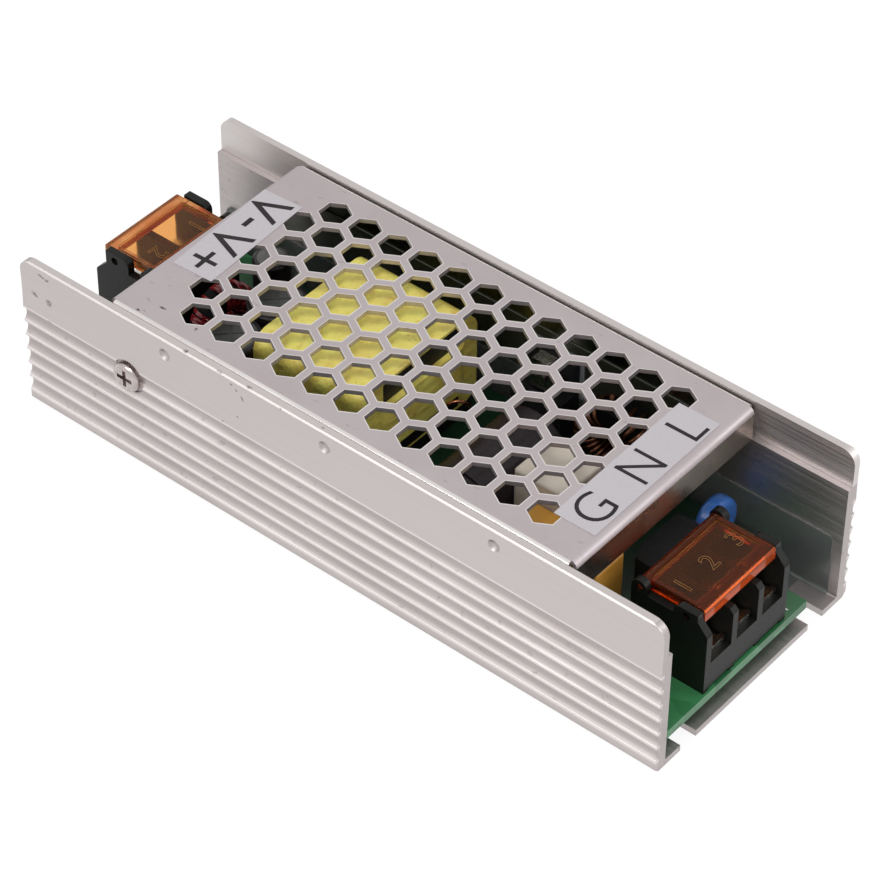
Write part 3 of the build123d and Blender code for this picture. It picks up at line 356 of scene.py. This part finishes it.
def sheet_aluminium(colour, shade):
    """Rolled aluminium sheet with a satin film on it: even, faintly cloudy, with a few handling marks, a
    painted highlight on the side bends, painted shade in the gaps beside them and inside, and the end flanges
    painted darker and warmer as painted shade and a painted warm reflection.
    """
    material, tree, shader = begin("rolled_aluminium_sheet", Metallic=1.0)
    clouds = add(tree, "TexNoise", place(tree, 11, 11, 11), inputs={"Scale": 1.0, "Detail": 4.0})
    grain = add(tree, "TexNoise", place(tree, 0.5, 0.5, 0.5), inputs={"Scale": 1.0})
    specks = add(tree, "TexNoise", place(tree, 2.1, 0.9, 0.9), inputs={"Scale": 1.0, "Detail": 1.0})
    low, high = (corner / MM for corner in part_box("top_cover"))
    bend, gap = (add(tree, "Math", 1.0, within(tree, (low.x - 1, low.y + inset, 0),
                                               (high.x + 1, high.y - inset, high.z + 1)),
                     operation="SUBTRACT") for inset in (BEND_WIDTH, GAP_WIDTH))
    full, behind = (within(tree, (-end, -FLANGE_HALF, FLANGE_LOW), (end, FLANGE_HALF, FLANGE_HIGH))
                    for end in (high.x + 1, high.x - FLANGE_SKIN))
    flange = add(tree, "Math", full, behind, operation="SUBTRACT", use_clamp=True)
    base = layered(
        tree, colour,
        (add(tree, "MapRange", clouds, *NOISE), shade),
        (add(tree, "MapRange", specks, 0.7, 0.78, 0.0, 0.3), "#8E8888"),
        (worn_and_shaded_spots(tree, COVER_MARKS), "#5E5856"),
        # A painted highlight on the side bends, and painted shade in the gap beside them.
        (bend, "#F8F3F1"),
        (gap, "#4A4644"),
        # Painted shade: the inside is painted darker.
        (within(tree, *COVER_INSIDE), "#7A7E74"),
        # Painted shade and a painted warm reflection on the end flanges.
        (flange, "#C8BEB4"))
    smoother = add(tree, "Math", flange, bend, operation="MAXIMUM")
    rough = add(tree, "MapRange", clouds, *NOISE, 0.5, 0.62)
    rough = add(tree, "Math", smoother, -0.3, rough, operation="MULTIPLY_ADD")
    surface(tree, shader, base, rough, grain, 0.006)
    return material


def moulded(name, colour, shade, roughness=0.45, depth=0.01, coat=0.0, shine=0.5):
    """Plastic from a mould: an even colour with slight flow marks and a fine grain."""
    material, tree, shader = begin(name, Coat_Weight=coat, Coat_Roughness=0.15, IOR=1.5,
                                   Specular_IOR_Level=shine)
    flow = add(tree, "TexNoise", place(tree, 4, 4, 4), inputs={"Scale": 1.0, "Detail": 3.0})
    grain = add(tree, "TexNoise", place(tree, 0.25, 0.25, 0.25), inputs={"Scale": 1.0})
    base = layered(tree, colour, (add(tree, "MapRange", flow, *NOISE), shade))
    rough = add(tree, "MapRange", grain, *NOISE, roughness - 0.06, roughness + 0.06)
    surface(tree, shader, base, rough, grain, depth)
    return material


def amber_plastic(name, colour, shade, clear, roughness, panel=None, tint=None):
    """Amber polycarbonate with scattered light in it. A lid has boxes for its sunk panel, its top and the
    panel's floor: it is clearest in the floor, which has the tint, and paler and duller in the rim."""
    material, tree, shader = begin(name, IOR=1.45, Specular_IOR_Level=0.05,
                                   Specular_Tint=(0.9, 0.5, 0.3, 1.0))
    flow = add(tree, "TexNoise", place(tree, 3, 9, 3), inputs={"Scale": 1.0})
    base = layered(tree, colour, (add(tree, "MapRange", flow, *NOISE), shade))
    if panel:
        thin, top, floor = (within(tree, *box) for box in panel)
        rim = add(tree, "Math", thin, floor, operation="SUBTRACT", use_clamp=True)
        clear = add(tree, "MapRange", top, 0.0, 1.0, 0.6, clear)
        clear = add(tree, "Math", clear, floor, operation="MAXIMUM")
        clear = add(tree, "Math", rim, -0.2, clear, operation="MULTIPLY_ADD")
        tree.links.new(clear, shader.inputs["Transmission Weight"])
        base = layered(tree, base, (thin, layered(tree, tint, (rim, "#E8A456"))))
    else:
        shader.inputs["Transmission Weight"].default_value = clear
    rough = add(tree, "MapRange", flow, *NOISE, roughness, roughness + 0.08)
    surface(tree, shader, base, rough, flow, 0.02)
    return material


def clear_film():
    """Thin clear polyester film with a slight haze."""
    material, tree, shader = begin("clear_polyester_film", Transmission_Weight=0.85, IOR=1.5)
    haze = add(tree, "TexNoise", place(tree, 8, 8, 8), inputs={"Scale": 1.0})
    surface(tree, shader, layered(tree, "#D8DEDA", (haze, "#C2CCC6")),
            add(tree, "MapRange", haze, *NOISE, 0.12, 0.25))
    return material


def plated(name, colour, shade, roughness):
    """Plated steel or enamelled wire: bright metal with small uneven patches."""
    material, tree, shader = begin(name, Metallic=1.0)
    patches = add(tree, "TexNoise", place(tree, 0.8, 0.8, 0.8), inputs={"Scale": 1.0, "Detail": 3.0})
    base = layered(tree, colour, (add(tree, "MapRange", patches, *NOISE), shade))
    rough = add(tree, "MapRange", patches, *NOISE, roughness - 0.08, roughness + 0.08)
    surface(tree, shader, base, rough, patches, 0.008)
    return material


def solder_mask(colour, shade):
    """Green solder mask over copper: satin lacquer, lighter over tracks, with painted shade under the cover.
    """
    material, tree, shader = begin("green_solder_mask", IOR=1.5, Coat_Weight=0.3, Coat_Roughness=0.2)
    tracks = add(tree, "TexVoronoi", place(tree, 9, 4, 4), inputs={"Scale": 1.0}, out="Color",
                 feature="F1", distance="CHEBYCHEV")
    copper = add(tree, "MapRange", add(tree, "RGBToBW", tracks), 0.45, 0.5)
    cloud = add(tree, "TexNoise", place(tree, 6, 6, 6), inputs={"Scale": 1.0})
    base = layered(tree, shade, (copper, colour),
                   (add(tree, "MapRange", cloud, *NOISE, 0.0, 0.35), shade),
                   # Painted shade under the cover.
                   (within(tree, *BOARD_UNDER_COVER, fade=0.1), "#10331F"))
    surface(tree, shader, base, add(tree, "MapRange", cloud, *NOISE, 0.32, 0.42), copper, 0.035)
    return material


def printed_paper(colour):
    """White label stock: matte, with a faint fibre."""
    material, tree, shader = begin("white_label_paper", IOR=1.45)
    fibre = add(tree, "TexNoise", place(tree, 0.6, 0.6, 0.6), inputs={"Scale": 1.0, "Detail": 3.0})
    surface(tree, shader, layered(tree, colour, (fibre, "#B0ABAF")),
            add(tree, "MapRange", fibre, *NOISE, 0.6, 0.72), fibre, 0.004)
    return material


def polyester_tape(colour, shade):
    """Thin polyester tape over a winding: smooth, stained by varnish, with soft waves from the turns."""
    material, tree, shader = begin("yellow_polyester_tape", IOR=1.5, Coat_Weight=0.25, Coat_Roughness=0.25)
    waves = add(tree, "TexNoise", place(tree, 5, 9, 5), inputs={"Scale": 1.0})
    specks = add(tree, "TexNoise", place(tree, 0.7, 0.7, 0.7), inputs={"Scale": 1.0})
    patches = add(tree, "TexNoise", place(tree, 2.2, 3.4, 2.2),
                  inputs={"Scale": 1.0, "Detail": 4.0, "Roughness": 0.7})
    wrinkles = add(tree, "TexNoise", place(tree, 1.4, 6, 1.4), inputs={"Scale": 1.0, "Detail": 3.0})
    base = layered(tree, colour, (add(tree, "MapRange", waves, *NOISE), shade),
                   (add(tree, "MapRange", patches, 0.52, 0.72, 0.0, 0.6), "#D8A84A"),
                   (add(tree, "MapRange", specks, 0.65, 0.75, 0.0, 0.45), "#A89A44"))
    surface(tree, shader, base, add(tree, "MapRange", specks, *NOISE, 0.35, 0.5), wrinkles, 0.3)
    return material


def capacitor_sleeve(name, sleeve, low, high, rim):
    """Shrunk sleeve on a capacitor in a box, with the bare aluminium top showing inside its rim."""
    material, tree, shader = begin(name, IOR=1.5)
    middle = (low + high) / 2
    where = add(tree, "SeparateXYZ", add(tree, "TexCoord", out="Object")).node.outputs
    away = add(tree, "VectorMath", add(tree, "CombineXYZ", where["X"], where["Y"]),
               (middle.x, middle.y, 0.0), operation="DISTANCE", out="Value")
    inside = add(tree, "Math", away, (high.x - low.x) / 2 - rim * MM, operation="LESS_THAN")
    above = add(tree, "Math", where["Z"], high.z - BARE_DEPTH * MM, operation="GREATER_THAN")
    bare = add(tree, "Math", inside, above, operation="MULTIPLY")
    flow = add(tree, "TexNoise", place(tree, 3, 3, 3), inputs={"Scale": 1.0})
    metal = layered(tree, "#7C7E7C", (flow, "#8B8C8B"))
    base = layered(tree, sleeve, (flow, "#231E20"), (bare, metal))
    tree.links.new(bare, shader.inputs["Metallic"])
    surface(tree, shader, base, add(tree, "MapRange", bare, 0.0, 1.0, 0.3, 0.55))
    return material


def studio_white():
    """White studio surface, plain white to the camera and in reflections, that keeps a soft shadow."""
    material = bpy.data.materials.new("studio_white")
    material.use_nodes = True
    tree = material.node_tree
    tree.nodes.clear()
    rays = add(tree, "LightPath").node.outputs
    diffuse = add(tree, "BsdfDiffuse", (0.9, 0.9, 0.9, 1))
    glow = add(tree, "Emission", WHITE, add(tree, "MapRange", rays["Is Camera Ray"], 0.0, 1.0, 0.88, 1.05))
    seen = add(tree, "Math", rays["Is Camera Ray"], rays["Is Glossy Ray"], operation="MAXIMUM")
    seen = add(tree, "Math", seen, rays["Is Transmission Ray"], operation="MAXIMUM")
    share = add(tree, "Math", seen, 0.85, operation="MULTIPLY")
    add(tree, "OutputMaterial", add(tree, "MixShader", share, diffuse, glow))
    return material


# Settings

class PowerSupplyCaseSettings(bpy.types.PropertyGroup):
    """Colours and sizes of the channel, the cover and its labels"""
    channel_colour: StringProperty(
        name="Channel", description="Main colour of the aluminium channel", default="#C9C2C1")
    channel_shade: StringProperty(
        name="Channel shade", description="Darker patches of the channel", default="#BDB5B4")
    cover_colour: StringProperty(
        name="Cover", description="Main colour of the sheet cover", default="#CFC6C8")
    cover_shade: StringProperty(
        name="Cover shade", description="Darker patches of the cover", default="#C6BCBE")
    first_rib: FloatProperty(
        name="First rib", description="Height of the lowest rib's edge", default=0.0025, unit="LENGTH")
    rib_pitch: FloatProperty(
        name="Rib pitch", description="Distance between the ribs", default=0.00291, unit="LENGTH")
    label_colour: StringProperty(name="Label", description="Colour of the label stock", default="#B7B2B6")
    ink_colour: StringProperty(name="Ink", description="Colour of the printed letters", default="#242022")
    input_letters: FloatProperty(
        name="Input letters", description="Size of the input label's letters", default=0.0089, unit="LENGTH")
    output_letters: FloatProperty(
        name="Output letters", description="Size of the output label's letters", default=0.0093,
        unit="LENGTH")
    letter_thickness: FloatProperty(
        name="Letter thickness", description="Thickness of the printed letters", default=0.00003,
        unit="LENGTH")
    hole_flats: FloatProperty(
        name="Hole width", description="Width of a hexagonal hole across its flats", default=0.0048,
        unit="LENGTH")
    hole_pitch: FloatProperty(
        name="Hole pitch", description="Distance between neighbouring holes", default=0.006167, unit="LENGTH")
    hole_rows: IntProperty(
        name="Hole rows", description="Staggered rows of holes along the cover", default=24)
    hole_columns: IntProperty(
        name="Hole columns", description="Staggered columns across the cover", default=7)
    hole_rim: FloatProperty(
        name="Hole rim", description="Width of the bright rolled edge round a hole", default=0.00016,
        unit="LENGTH")
    input_tilt: FloatProperty(
        name="Input label tilt", description="How far the input label is turned", default=math.radians(0.6),
        subtype="ANGLE")
    output_tilt: FloatProperty(
        name="Output label tilt", description="How far the output label is turned", default=math.radians(3.1),
        subtype="ANGLE")


class PowerSupplyTerminalSettings(bpy.types.PropertyGroup):
    """Colours of the terminals and sizes of the lids' numbers"""
    body_colour: StringProperty(name="Body", description="Colour of the terminal blocks", default="#0D0E0C")
    body_shade: StringProperty(
        name="Body shade", description="Flow marks of the terminal blocks", default="#141512")
    # The lids are one material: the output lid's lighter tint and edge colour are painted light, as lit from
    # behind.
    input_tint: StringProperty(
        name="Input lid", description="Tint of the input lid's panel", default="#E8903C")
    output_tint: StringProperty(
        name="Output lid", description="Tint of the output lid's panel", default="#F8AC60")
    input_edge: StringProperty(
        name="Input lid edge", description="Glow of the input lid's thick edges", default="#D0602C")
    output_edge: StringProperty(
        name="Output lid edge", description="Glow of the output lid's thick edges", default="#F6B470")
    digit_height: FloatProperty(
        name="Digit height", description="Size of the raised numbers", default=0.0044, unit="LENGTH")
    digit_stroke: FloatProperty(
        name="Digit stroke", description="Width of the numbers' raised outline", default=0.00012,
        unit="LENGTH")


class PowerSupplyBoardSettings(bpy.types.PropertyGroup):
    """Colours of the board, the tape and the sleeves, and sizes of the chokes' wires"""
    mask_colour: StringProperty(
        name="Solder mask", description="Colour of the board over copper", default="#3C8050")
    mask_shade: StringProperty(
        name="Solder mask shade", description="Colour of the board between tracks", default="#27613A")
    tape_colour: StringProperty(
        name="Tape", description="Colour of the transformer's tape", default="#FFF67C")
    tape_shade: StringProperty(name="Tape shade", description="Darker parts of the tape", default="#F4DC6E")
    sleeve_colour: StringProperty(
        name="Sleeve", description="Colour of the capacitor sleeves", default="#2A2427")
    choke_wire: FloatProperty(
        name="Output choke wire", description="Diameter of the output choke's wire", default=0.00075,
        unit="LENGTH")
    choke_turns: IntProperty(
        name="Output choke turns", description="Turns on the output choke", default=24, min=4)
    line_wire: FloatProperty(
        name="Line choke wire", description="Diameter of the line choke's wire", default=0.0009,
        unit="LENGTH")
    line_turns: IntProperty(
        name="Line choke turns", description="Turns on each half of the line choke", default=11, min=3)


class PowerSupplyStageSettings(bpy.types.PropertyGroup):
    """The camera's place, direction and lens"""
    camera_place: FloatVectorProperty(
        name="Camera", description="Where the camera stands", subtype="TRANSLATION",
        default=(0.25690, -0.30894, 0.38237))
    azimuth: FloatProperty(
        name="Azimuth", description="Direction of the camera about Z", subtype="ANGLE",
        default=math.radians(39.41))
    elevation: FloatProperty(
        name="Elevation", description="Height angle of the camera", subtype="ANGLE",
        default=math.radians(42.74))
    roll: FloatProperty(
        name="Roll", description="Turn of the camera about its line of sight", subtype="ANGLE",
        default=math.radians(0.43))
    lens: FloatProperty(name="Lens", description="Focal length in millimetres", default=143.7)


SETTINGS = {
    "power_supply_case": PowerSupplyCaseSettings,
    "power_supply_terminals": PowerSupplyTerminalSettings,
    "power_supply_board": PowerSupplyBoardSettings,
    "power_supply_stage": PowerSupplyStageSettings,
}


# Pieces

def hole_rim_highlights(case):
    """The rolled edge that the punch leaves round each hole, as thin rings on the cover in a lighter sheet: a
    painted highlight.
    """
    shape = bmesh.new()
    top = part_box("top_cover")[1].z
    inner = case.hole_flats / math.sqrt(3)
    outer = (case.hole_flats + 2 * case.hole_rim) / math.sqrt(3)
    section = ((inner, top + RIM_HIGH * MM), (outer, top + RIM_LOW * MM),
               (outer, top - RIM_HIGH * MM), (inner, top - RIM_HIGH * MM))
    corners = [math.radians(60 * i + 30) for i in range(6)]
    for row in range(case.hole_rows):
        for column in range(1 - row % 2, case.hole_columns, 2):
            x = (row - (case.hole_rows - 1) / 2) * case.hole_pitch / 2
            y = (column - (case.hole_columns - 1) / 2) * case.hole_pitch * math.sqrt(3) / 2
            rings = [[shape.verts.new((x + reach * math.cos(a), y + reach * math.sin(a), z)) for a in corners]
                     for reach, z in section]
            for ring, following in zip(rings, rings[1:] + rings[:1]):
                for i in range(6):
                    shape.faces.new((ring[i - 1], ring[i], following[i], following[i - 1]))
    return from_bmesh("hole_rim_highlights", shape)


class PowerSupplyCase(bpy.types.Operator):
    """Finish the channel, the cover, the film, the spacers and the wall screws"""
    bl_idname = "power_supply.case"
    bl_label = "Case"

    def execute(self, context):
        case = context.scene.power_supply_case
        dress("channel_extrusion", mill_aluminium(case.channel_colour, case.channel_shade,
                                                  case.first_rib, case.rib_pitch))
        dress("top_cover", sheet_aluminium(case.cover_colour, case.cover_shade))
        # A lighter sheet for painted highlights: the hole rims and the flange edges.
        bright = sheet_aluminium("#EFEBE8", "#E4DFDC")
        finished(hole_rim_highlights(case), ROOT, bright, smooth=False)
        low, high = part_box("top_cover")
        # Painted highlights: thin bright wires along the side flanges' lower edges.
        for side, y in EDGE_SIDES:
            z = low.z / MM + EDGE_RISE
            ends = [(low.x / MM + EDGE_STOP, y, z), (high.x / MM - EDGE_STOP, y, z)]
            finished(wire(f"flange_edge_highlight_{side}", ends, EDGE_WIDTH), ROOT, bright)
        dress("insulation_film", clear_film())
        dress("board_spacers", moulded("white_nylon", "#DCDAD2", "#D2D0C8"))
        zinc = plated("zinc_plated_steel", "#D8CFCC", "#BCB2B0", 0.24)
        for name in ("rectifier_screw", "transistor_screw", "rectifier_nut", "transistor_nut"):
            dress(name, zinc)
        return {"FINISHED"}


class PowerSupplyLabels(bpy.types.Operator):
    """Finish the two labels and print their letters"""
    bl_idname = "power_supply.labels"
    bl_label = "Labels"

    def execute(self, context):
        case = context.scene.power_supply_case
        paper = printed_paper(case.label_colour)
        ink = moulded("black_print", case.ink_colour, "#2E2A2B", roughness=0.6, depth=0.002, shine=0.2)
        # Node, letters with their places in millimetres, turn, tilt, size and boldness in metres
        labels = (
            ("input_label", (("G", 0.5, -10.8), ("N", 0.5, 0.5), ("L", 0.7, 11.4)),
             math.pi / 2, case.input_tilt, case.input_letters, -0.0001),
            ("output_label", (("V", -0.7, 7.8), ("-", 0.0, 3.3), ("V", -0.5, -2.1), ("+", -0.7, -7.9)),
             -math.pi / 2, case.output_tilt, case.output_letters, 0.00002))
        for node, letters, turn, tilt, size, weight in labels:
            dress(node, paper)
            middle = centre(node)
            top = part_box(node)[1].z
            for i, (letter, x, y) in enumerate(letters):
                name = f"{node}_letter_{i}"
                curve = lettering(name, letter, size)
                curve.extrude = case.letter_thickness / 2
                curve.offset = weight
                piece = meshed(name, curve)
                piece.matrix_basis = (
                    Matrix.Translation((middle.x, middle.y, top + LABEL_PRINT_LIFT * MM))
                    @ Matrix.Rotation(tilt, 4, "Z")
                    @ Matrix.Translation((x * MM, y * MM, 0)) @ Matrix.Rotation(turn, 4, "Z"))
                finished(piece, ROOT, ink, smooth=False)
        return {"FINISHED"}


def drawn_in(low, high, left, right, side):
    """A box given by two corners in millimetres, drawn in at its ends and sides and open at its top."""
    return (low.x + left, low.y + side, low.z), (high.x - right, high.y - side, high.z + 1)


class PowerSupplyTerminals(bpy.types.Operator):
    """Finish the terminal blocks, their lids and metal parts, and raise the lids' numbers"""
    bl_idname = "power_supply.terminals"
    bl_label = "Terminals"

    def execute(self, context):
        block = context.scene.power_supply_terminals
        black = moulded("black_glass_filled_nylon", block.body_colour, block.body_shade, roughness=0.42,
                        depth=0.003, shine=0.25)
        frosted = amber_plastic("frosted_amber_polycarbonate", "#B88A58", "#A87A48", 0.5, 0.4)
        nickel = plated("nickel_plated_steel", "#E2DED6", "#C8C4BC", 0.2)
        # End, body, numbers with their steps in millimetres, turn, shift, tint, edge colour, clearness,
        # and the widths of the lid's two ends beside the panel
        # The lids are one material: the output lid's lighter tint and edge colour are painted light, as lit
        # from behind.
        ends = (
            ("input", "input_lid", (("1", -6.35), ("2", 0.0), ("3", 6.35)), math.pi / 2, 0.3,
             block.input_tint, block.input_edge, 0.96, (1.6, 2.2)),
            ("output", "output_lid", (("1", 4.4), ("2", -4.4)), -math.pi / 2, 2.2,
             block.output_tint, block.output_edge, 0.85, (2.2, 1.6)))
        for end, body, numbers, turn, shift, tint, edge, clear, (left, right) in ends:
            low, high = (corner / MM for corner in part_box(f"{end}_terminal_lid"))
            panel = (drawn_in(low, high, left, right, LID_SIDE),
                     drawn_in(low, high, LID_EDGE, LID_EDGE, LID_EDGE),
                     drawn_in(low, high, left + LID_RIM, right + LID_RIM, LID_SIDE + LID_RIM))
            dress(f"{end}_terminal_body", black)
            dress(f"{end}_terminal_lid",
                  amber_plastic(f"{end}_amber_polycarbonate", edge, "#B84C22", clear, 0.06, panel, tint))
            dress(f"{end}_terminal_clamps", nickel)
            dress(f"{end}_terminal_screws", nickel)
            middle = centre(f"{end}_terminal_lid")
            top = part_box(f"{end}_terminal_lid")[1].z
            for text, step in numbers:
                name = f"{end}_lid_number_{text}"
                curve = lettering(name, text, block.digit_height)
                curve.fill_mode = "NONE"
                curve.bevel_depth = block.digit_stroke / 2
                curve.bevel_resolution = 1
                piece = meshed(name, curve)
                piece.matrix_basis = Matrix.Translation(
                    (middle.x + shift * MM, middle.y + step * MM,
                     top - PANEL_DEPTH * MM + block.digit_stroke / 4)) @ Matrix.Rotation(turn, 4, "Z")
                finished(piece, body, frosted, smooth=False)
        return {"FINISHED"}


class PowerSupplyBoard(bpy.types.Operator):
    """Finish the board and print its marks"""
    bl_idname = "power_supply.board"
    bl_label = "Board"

    def execute(self, context):
        board = context.scene.power_supply_board
        dress("circuit_board", solder_mask(board.mask_colour, board.mask_shade))
        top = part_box("circuit_board")[1].z
        white = moulded("white_board_print", "#E4E6E0", "#D8DAD4", roughness=0.6, depth=0.002)
        for i, (x, y, length, width) in enumerate(BOARD_PRINT):
            shape = bmesh.new()
            bmesh.ops.create_grid(shape, x_segments=1, y_segments=1, size=0.5)
            bmesh.ops.scale(shape, vec=(length * MM, width * MM, 1), verts=shape.verts)
            bmesh.ops.translate(shape, vec=(x * MM, y * MM, top + BOARD_PRINT_LIFT * MM), verts=shape.verts)
            finished(from_bmesh(f"board_mark_{i}", shape), ROOT, white, smooth=False)
        return {"FINISHED"}


class PowerSupplyTransformer(bpy.types.Operator):
    """Finish the transformer and add its lead wire"""
    bl_idname = "power_supply.transformer"
    bl_label = "Transformer"

    def execute(self, context):
        board = context.scene.power_supply_board
        dress("transformer_winding", polyester_tape(board.tape_colour, board.tape_shade))
        dress("transformer_core", moulded("black_ferrite", "#161618", "#1E1E20", roughness=0.5, depth=0.03,
                                          shine=0.3))
        dress("transformer_bobbin", moulded("black_phenolic", "#161618", "#1E1E20", roughness=0.4, shine=0.3))
        copper = plated("enamelled_copper_wire", "#C08060", "#A86A4C", 0.25)
        finished(wire("transformer_lead", LEAD_POINTS, LEAD_WIRE), ROOT, copper)
        return {"FINISHED"}


def ring_turns(middle, ring, size, turns, start, end, bunches=0):
    """Points of a wire wound round a ring, turn by turn, in millimetres, in even turns or in bunches."""
    axis, outer, inner, height = ring
    mean = (outer + inner) / 4
    reach = (outer - inner) / 4 + size / 2
    rise = height / 2 + size / 2
    points = []
    for i in range(turns * TURN_POINTS + 1):
        share = i / (turns * TURN_POINTS)
        angle = start + (end - start) * share
        if bunches:
            waves = 2 * math.pi * bunches
            angle += (end - start) * BUNCHING / waves * math.sin(waves * share)
        turned = 2 * math.pi * i / TURN_POINTS + math.pi / TURN_POINTS
        corner = 1 / max(abs(math.cos(turned)), abs(math.sin(turned)))
        out = mean + reach * math.cos(turned) * corner
        up = rise * math.sin(turned) * corner
        if axis == "X":
            offset = Vector((up, out * math.cos(angle), out * math.sin(angle)))
        else:
            offset = Vector((out * math.cos(angle), up, out * math.sin(angle)))
        points.append(middle / MM + offset)
    return points


class PowerSupplyChokes(bpy.types.Operator):
    """Wind the two ring chokes with round wire"""
    bl_idname = "power_supply.chokes"
    bl_label = "Chokes"

    def execute(self, context):
        board = context.scene.power_supply_board
        ferrite = moulded("coated_iron_powder", "#0B0B0C", "#101011", roughness=0.45, depth=0.02, shine=0.12)
        red = moulded("red_enamel", "#A82C30", "#8E2228", roughness=0.2, depth=0.004, coat=0.6)
        brown = plated("brown_enamelled_wire", "#6E4A36", "#58392A", 0.35)
        dress("output_choke_core", ferrite)
        dress("line_choke_core", ferrite)
        size = board.choke_wire / MM
        points = ring_turns(centre("output_choke_core"), OUTPUT_RING, size, board.choke_turns,
                            0.0, 2 * math.pi, bunches=6)
        winding = wire("output_choke_wire", points, size)
        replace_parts(finished(winding, ROOT, red), "output_choke_winding")
        size = board.line_wire / MM
        halves = []
        for side, middle in (("left", math.pi), ("right", 0.0)):
            points = ring_turns(centre("line_choke_core"), LINE_RING, size, board.line_turns,
                                middle - 0.4 * math.pi, middle + 0.4 * math.pi)
            winding = wire(f"line_choke_wire_{side}", points, size)
            halves.append(finished(winding, ROOT, brown))
        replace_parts(halves[0], "line_choke_winding")
        return {"FINISHED"}


class PowerSupplyCapacitors(bpy.types.Operator):
    """Finish the capacitors, the varistor and the thermistor"""
    bl_idname = "power_supply.capacitors"
    bl_label = "Capacitors"

    def execute(self, context):
        board = context.scene.power_supply_board
        for name, rim in (("output_capacitor_near", 0.9), ("output_capacitor_far", 0.9),
                          ("small_capacitor", 0.8)):
            low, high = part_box(name)
            dress(name, capacitor_sleeve(f"{name}_sleeve", board.sleeve_colour, low, high, rim))
        dress("bulk_capacitor", moulded("dark_shrink_sleeve", "#2E2529", "#251E21", roughness=0.32,
                                        shine=0.4))
        dress("box_capacitor", moulded("beige_box", "#DDD2C4", "#D3C7B8", roughness=0.5, depth=0.006))
        dress("x_capacitor", moulded("yellow_box", "#E2A84A", "#D89A3C", depth=0.006))
        blue = moulded("blue_epoxy_dip", "#3F74C4", "#3566B2", roughness=0.3, depth=0.03, coat=0.6)
        dress("varistor", blue)
        dress("y_capacitor", blue)
        dress("thermistor", moulded("green_epoxy_dip", "#2E4A34", "#263E2C", roughness=0.4, depth=0.03))
        return {"FINISHED"}


class PowerSupplySmallParts(bpy.types.Operator):
    """Finish the semiconductors, their pads and the small parts"""
    bl_idname = "power_supply.small_parts"
    bl_label = "Small parts"

    def execute(self, context):
        epoxy = moulded("moulded_epoxy", "#171719", "#202022", roughness=0.5, depth=0.02, shine=0.3)
        for name in ("bridge_rectifier", "power_transistor", "output_rectifier", "optocoupler",
                     "controller_chip", "board_diodes", "fuse"):
            dress(name, epoxy)
        pad = moulded("grey_silicone_pad", "#8E9094", "#84868A", roughness=0.7)
        dress("transistor_pad", pad)
        dress("rectifier_pad", pad)
        dress("board_resistors", moulded("tan_resistor_coating", "#C8A678", "#B89668", roughness=0.4))
        return {"FINISHED"}


class PowerSupplyStage(bpy.types.Operator):
    """Set up the floor, the light and the camera"""
    bl_idname = "power_supply.stage"
    bl_label = "Stage"

    def execute(self, context):
        scene = context.scene
        stage = scene.power_supply_stage
        shape = bmesh.new()
        bmesh.ops.create_grid(shape, x_segments=1, y_segments=1, size=3.0)
        floor = from_bmesh("studio_floor", shape)
        scene.collection.objects.link(floor)
        floor.data.materials.append(studio_white())

        world = bpy.data.worlds.new("studio_world")
        scene.world = world
        world.use_nodes = True
        tree = world.node_tree
        tree.nodes.clear()
        soft, plain = (add(tree, "Background", WHITE, strength) for strength in (0.72, 1.0))
        camera_ray = add(tree, "LightPath", out="Is Camera Ray")
        add(tree, "OutputWorld", add(tree, "MixShader", camera_ray, soft, plain))

        for name, where, size, power in LIGHTS:
            light = bpy.data.lights.new(name, "AREA")
            light.size = size
            light.energy = power
            lamp = bpy.data.objects.new(name, light)
            scene.collection.objects.link(lamp)
            lamp.location = where
            lamp.rotation_euler = (LIGHT_AIM - Vector(where)).to_track_quat("-Z", "Y").to_euler()

        back = Vector((math.sin(stage.azimuth) * math.cos(stage.elevation),
                       -math.cos(stage.azimuth) * math.cos(stage.elevation), math.sin(stage.elevation)))
        right = Vector((0, 0, 1)).cross(back).normalized()
        up = back.cross(right)
        turned_right = right * math.cos(stage.roll) + up * math.sin(stage.roll)
        turned_up = up * math.cos(stage.roll) - right * math.sin(stage.roll)
        axes = Matrix((turned_right, turned_up, back)).transposed().to_4x4()
        camera = bpy.data.objects.new("camera", bpy.data.cameras.new("camera"))
        camera.data.lens = stage.lens
        camera.data.sensor_width = 36
        camera.data.clip_start = 0.01
        camera.matrix_world = Matrix.Translation(stage.camera_place) @ axes
        scene.collection.objects.link(camera)
        scene.camera = camera
        scene.view_settings.view_transform = "Standard"
        return {"FINISHED"}


PIECES = (PowerSupplyCase, PowerSupplyLabels, PowerSupplyTerminals, PowerSupplyBoard, PowerSupplyTransformer,
          PowerSupplyChokes, PowerSupplyCapacitors, PowerSupplySmallParts, PowerSupplyStage)


class PowerSupplyPanel(bpy.types.Panel):
    """Lists the steps that finish the power supply, and their settings"""
    bl_idname = "VIEW3D_PT_power_supply"
    bl_label = "Power Supply"
    bl_space_type = "VIEW_3D"
    bl_region_type = "UI"
    bl_category = "Power Supply"

    def draw(self, context):
        for piece in PIECES:
            self.layout.operator(piece.bl_idname)
        for name, group in SETTINGS.items():
            values = getattr(context.scene, name)
            for key in group.__annotations__:
                self.layout.prop(values, key)


def register():
    for name, group in SETTINGS.items():
        bpy.utils.register_class(group)
        setattr(bpy.types.Scene, name, bpy.props.PointerProperty(type=group))
    for piece in (*PIECES, PowerSupplyPanel):
        bpy.utils.register_class(piece)


def unregister():
    for piece in (PowerSupplyPanel, *reversed(PIECES)):
        bpy.utils.unregister_class(piece)
    for name, group in SETTINGS.items():
        delattr(bpy.types.Scene, name)
        bpy.utils.unregister_class(group)


def main():
    register()
    for piece in PIECES:
        group, name = piece.bl_idname.split(".")
        getattr(getattr(bpy.ops, group), name)()


if __name__ == "__main__":
    main()
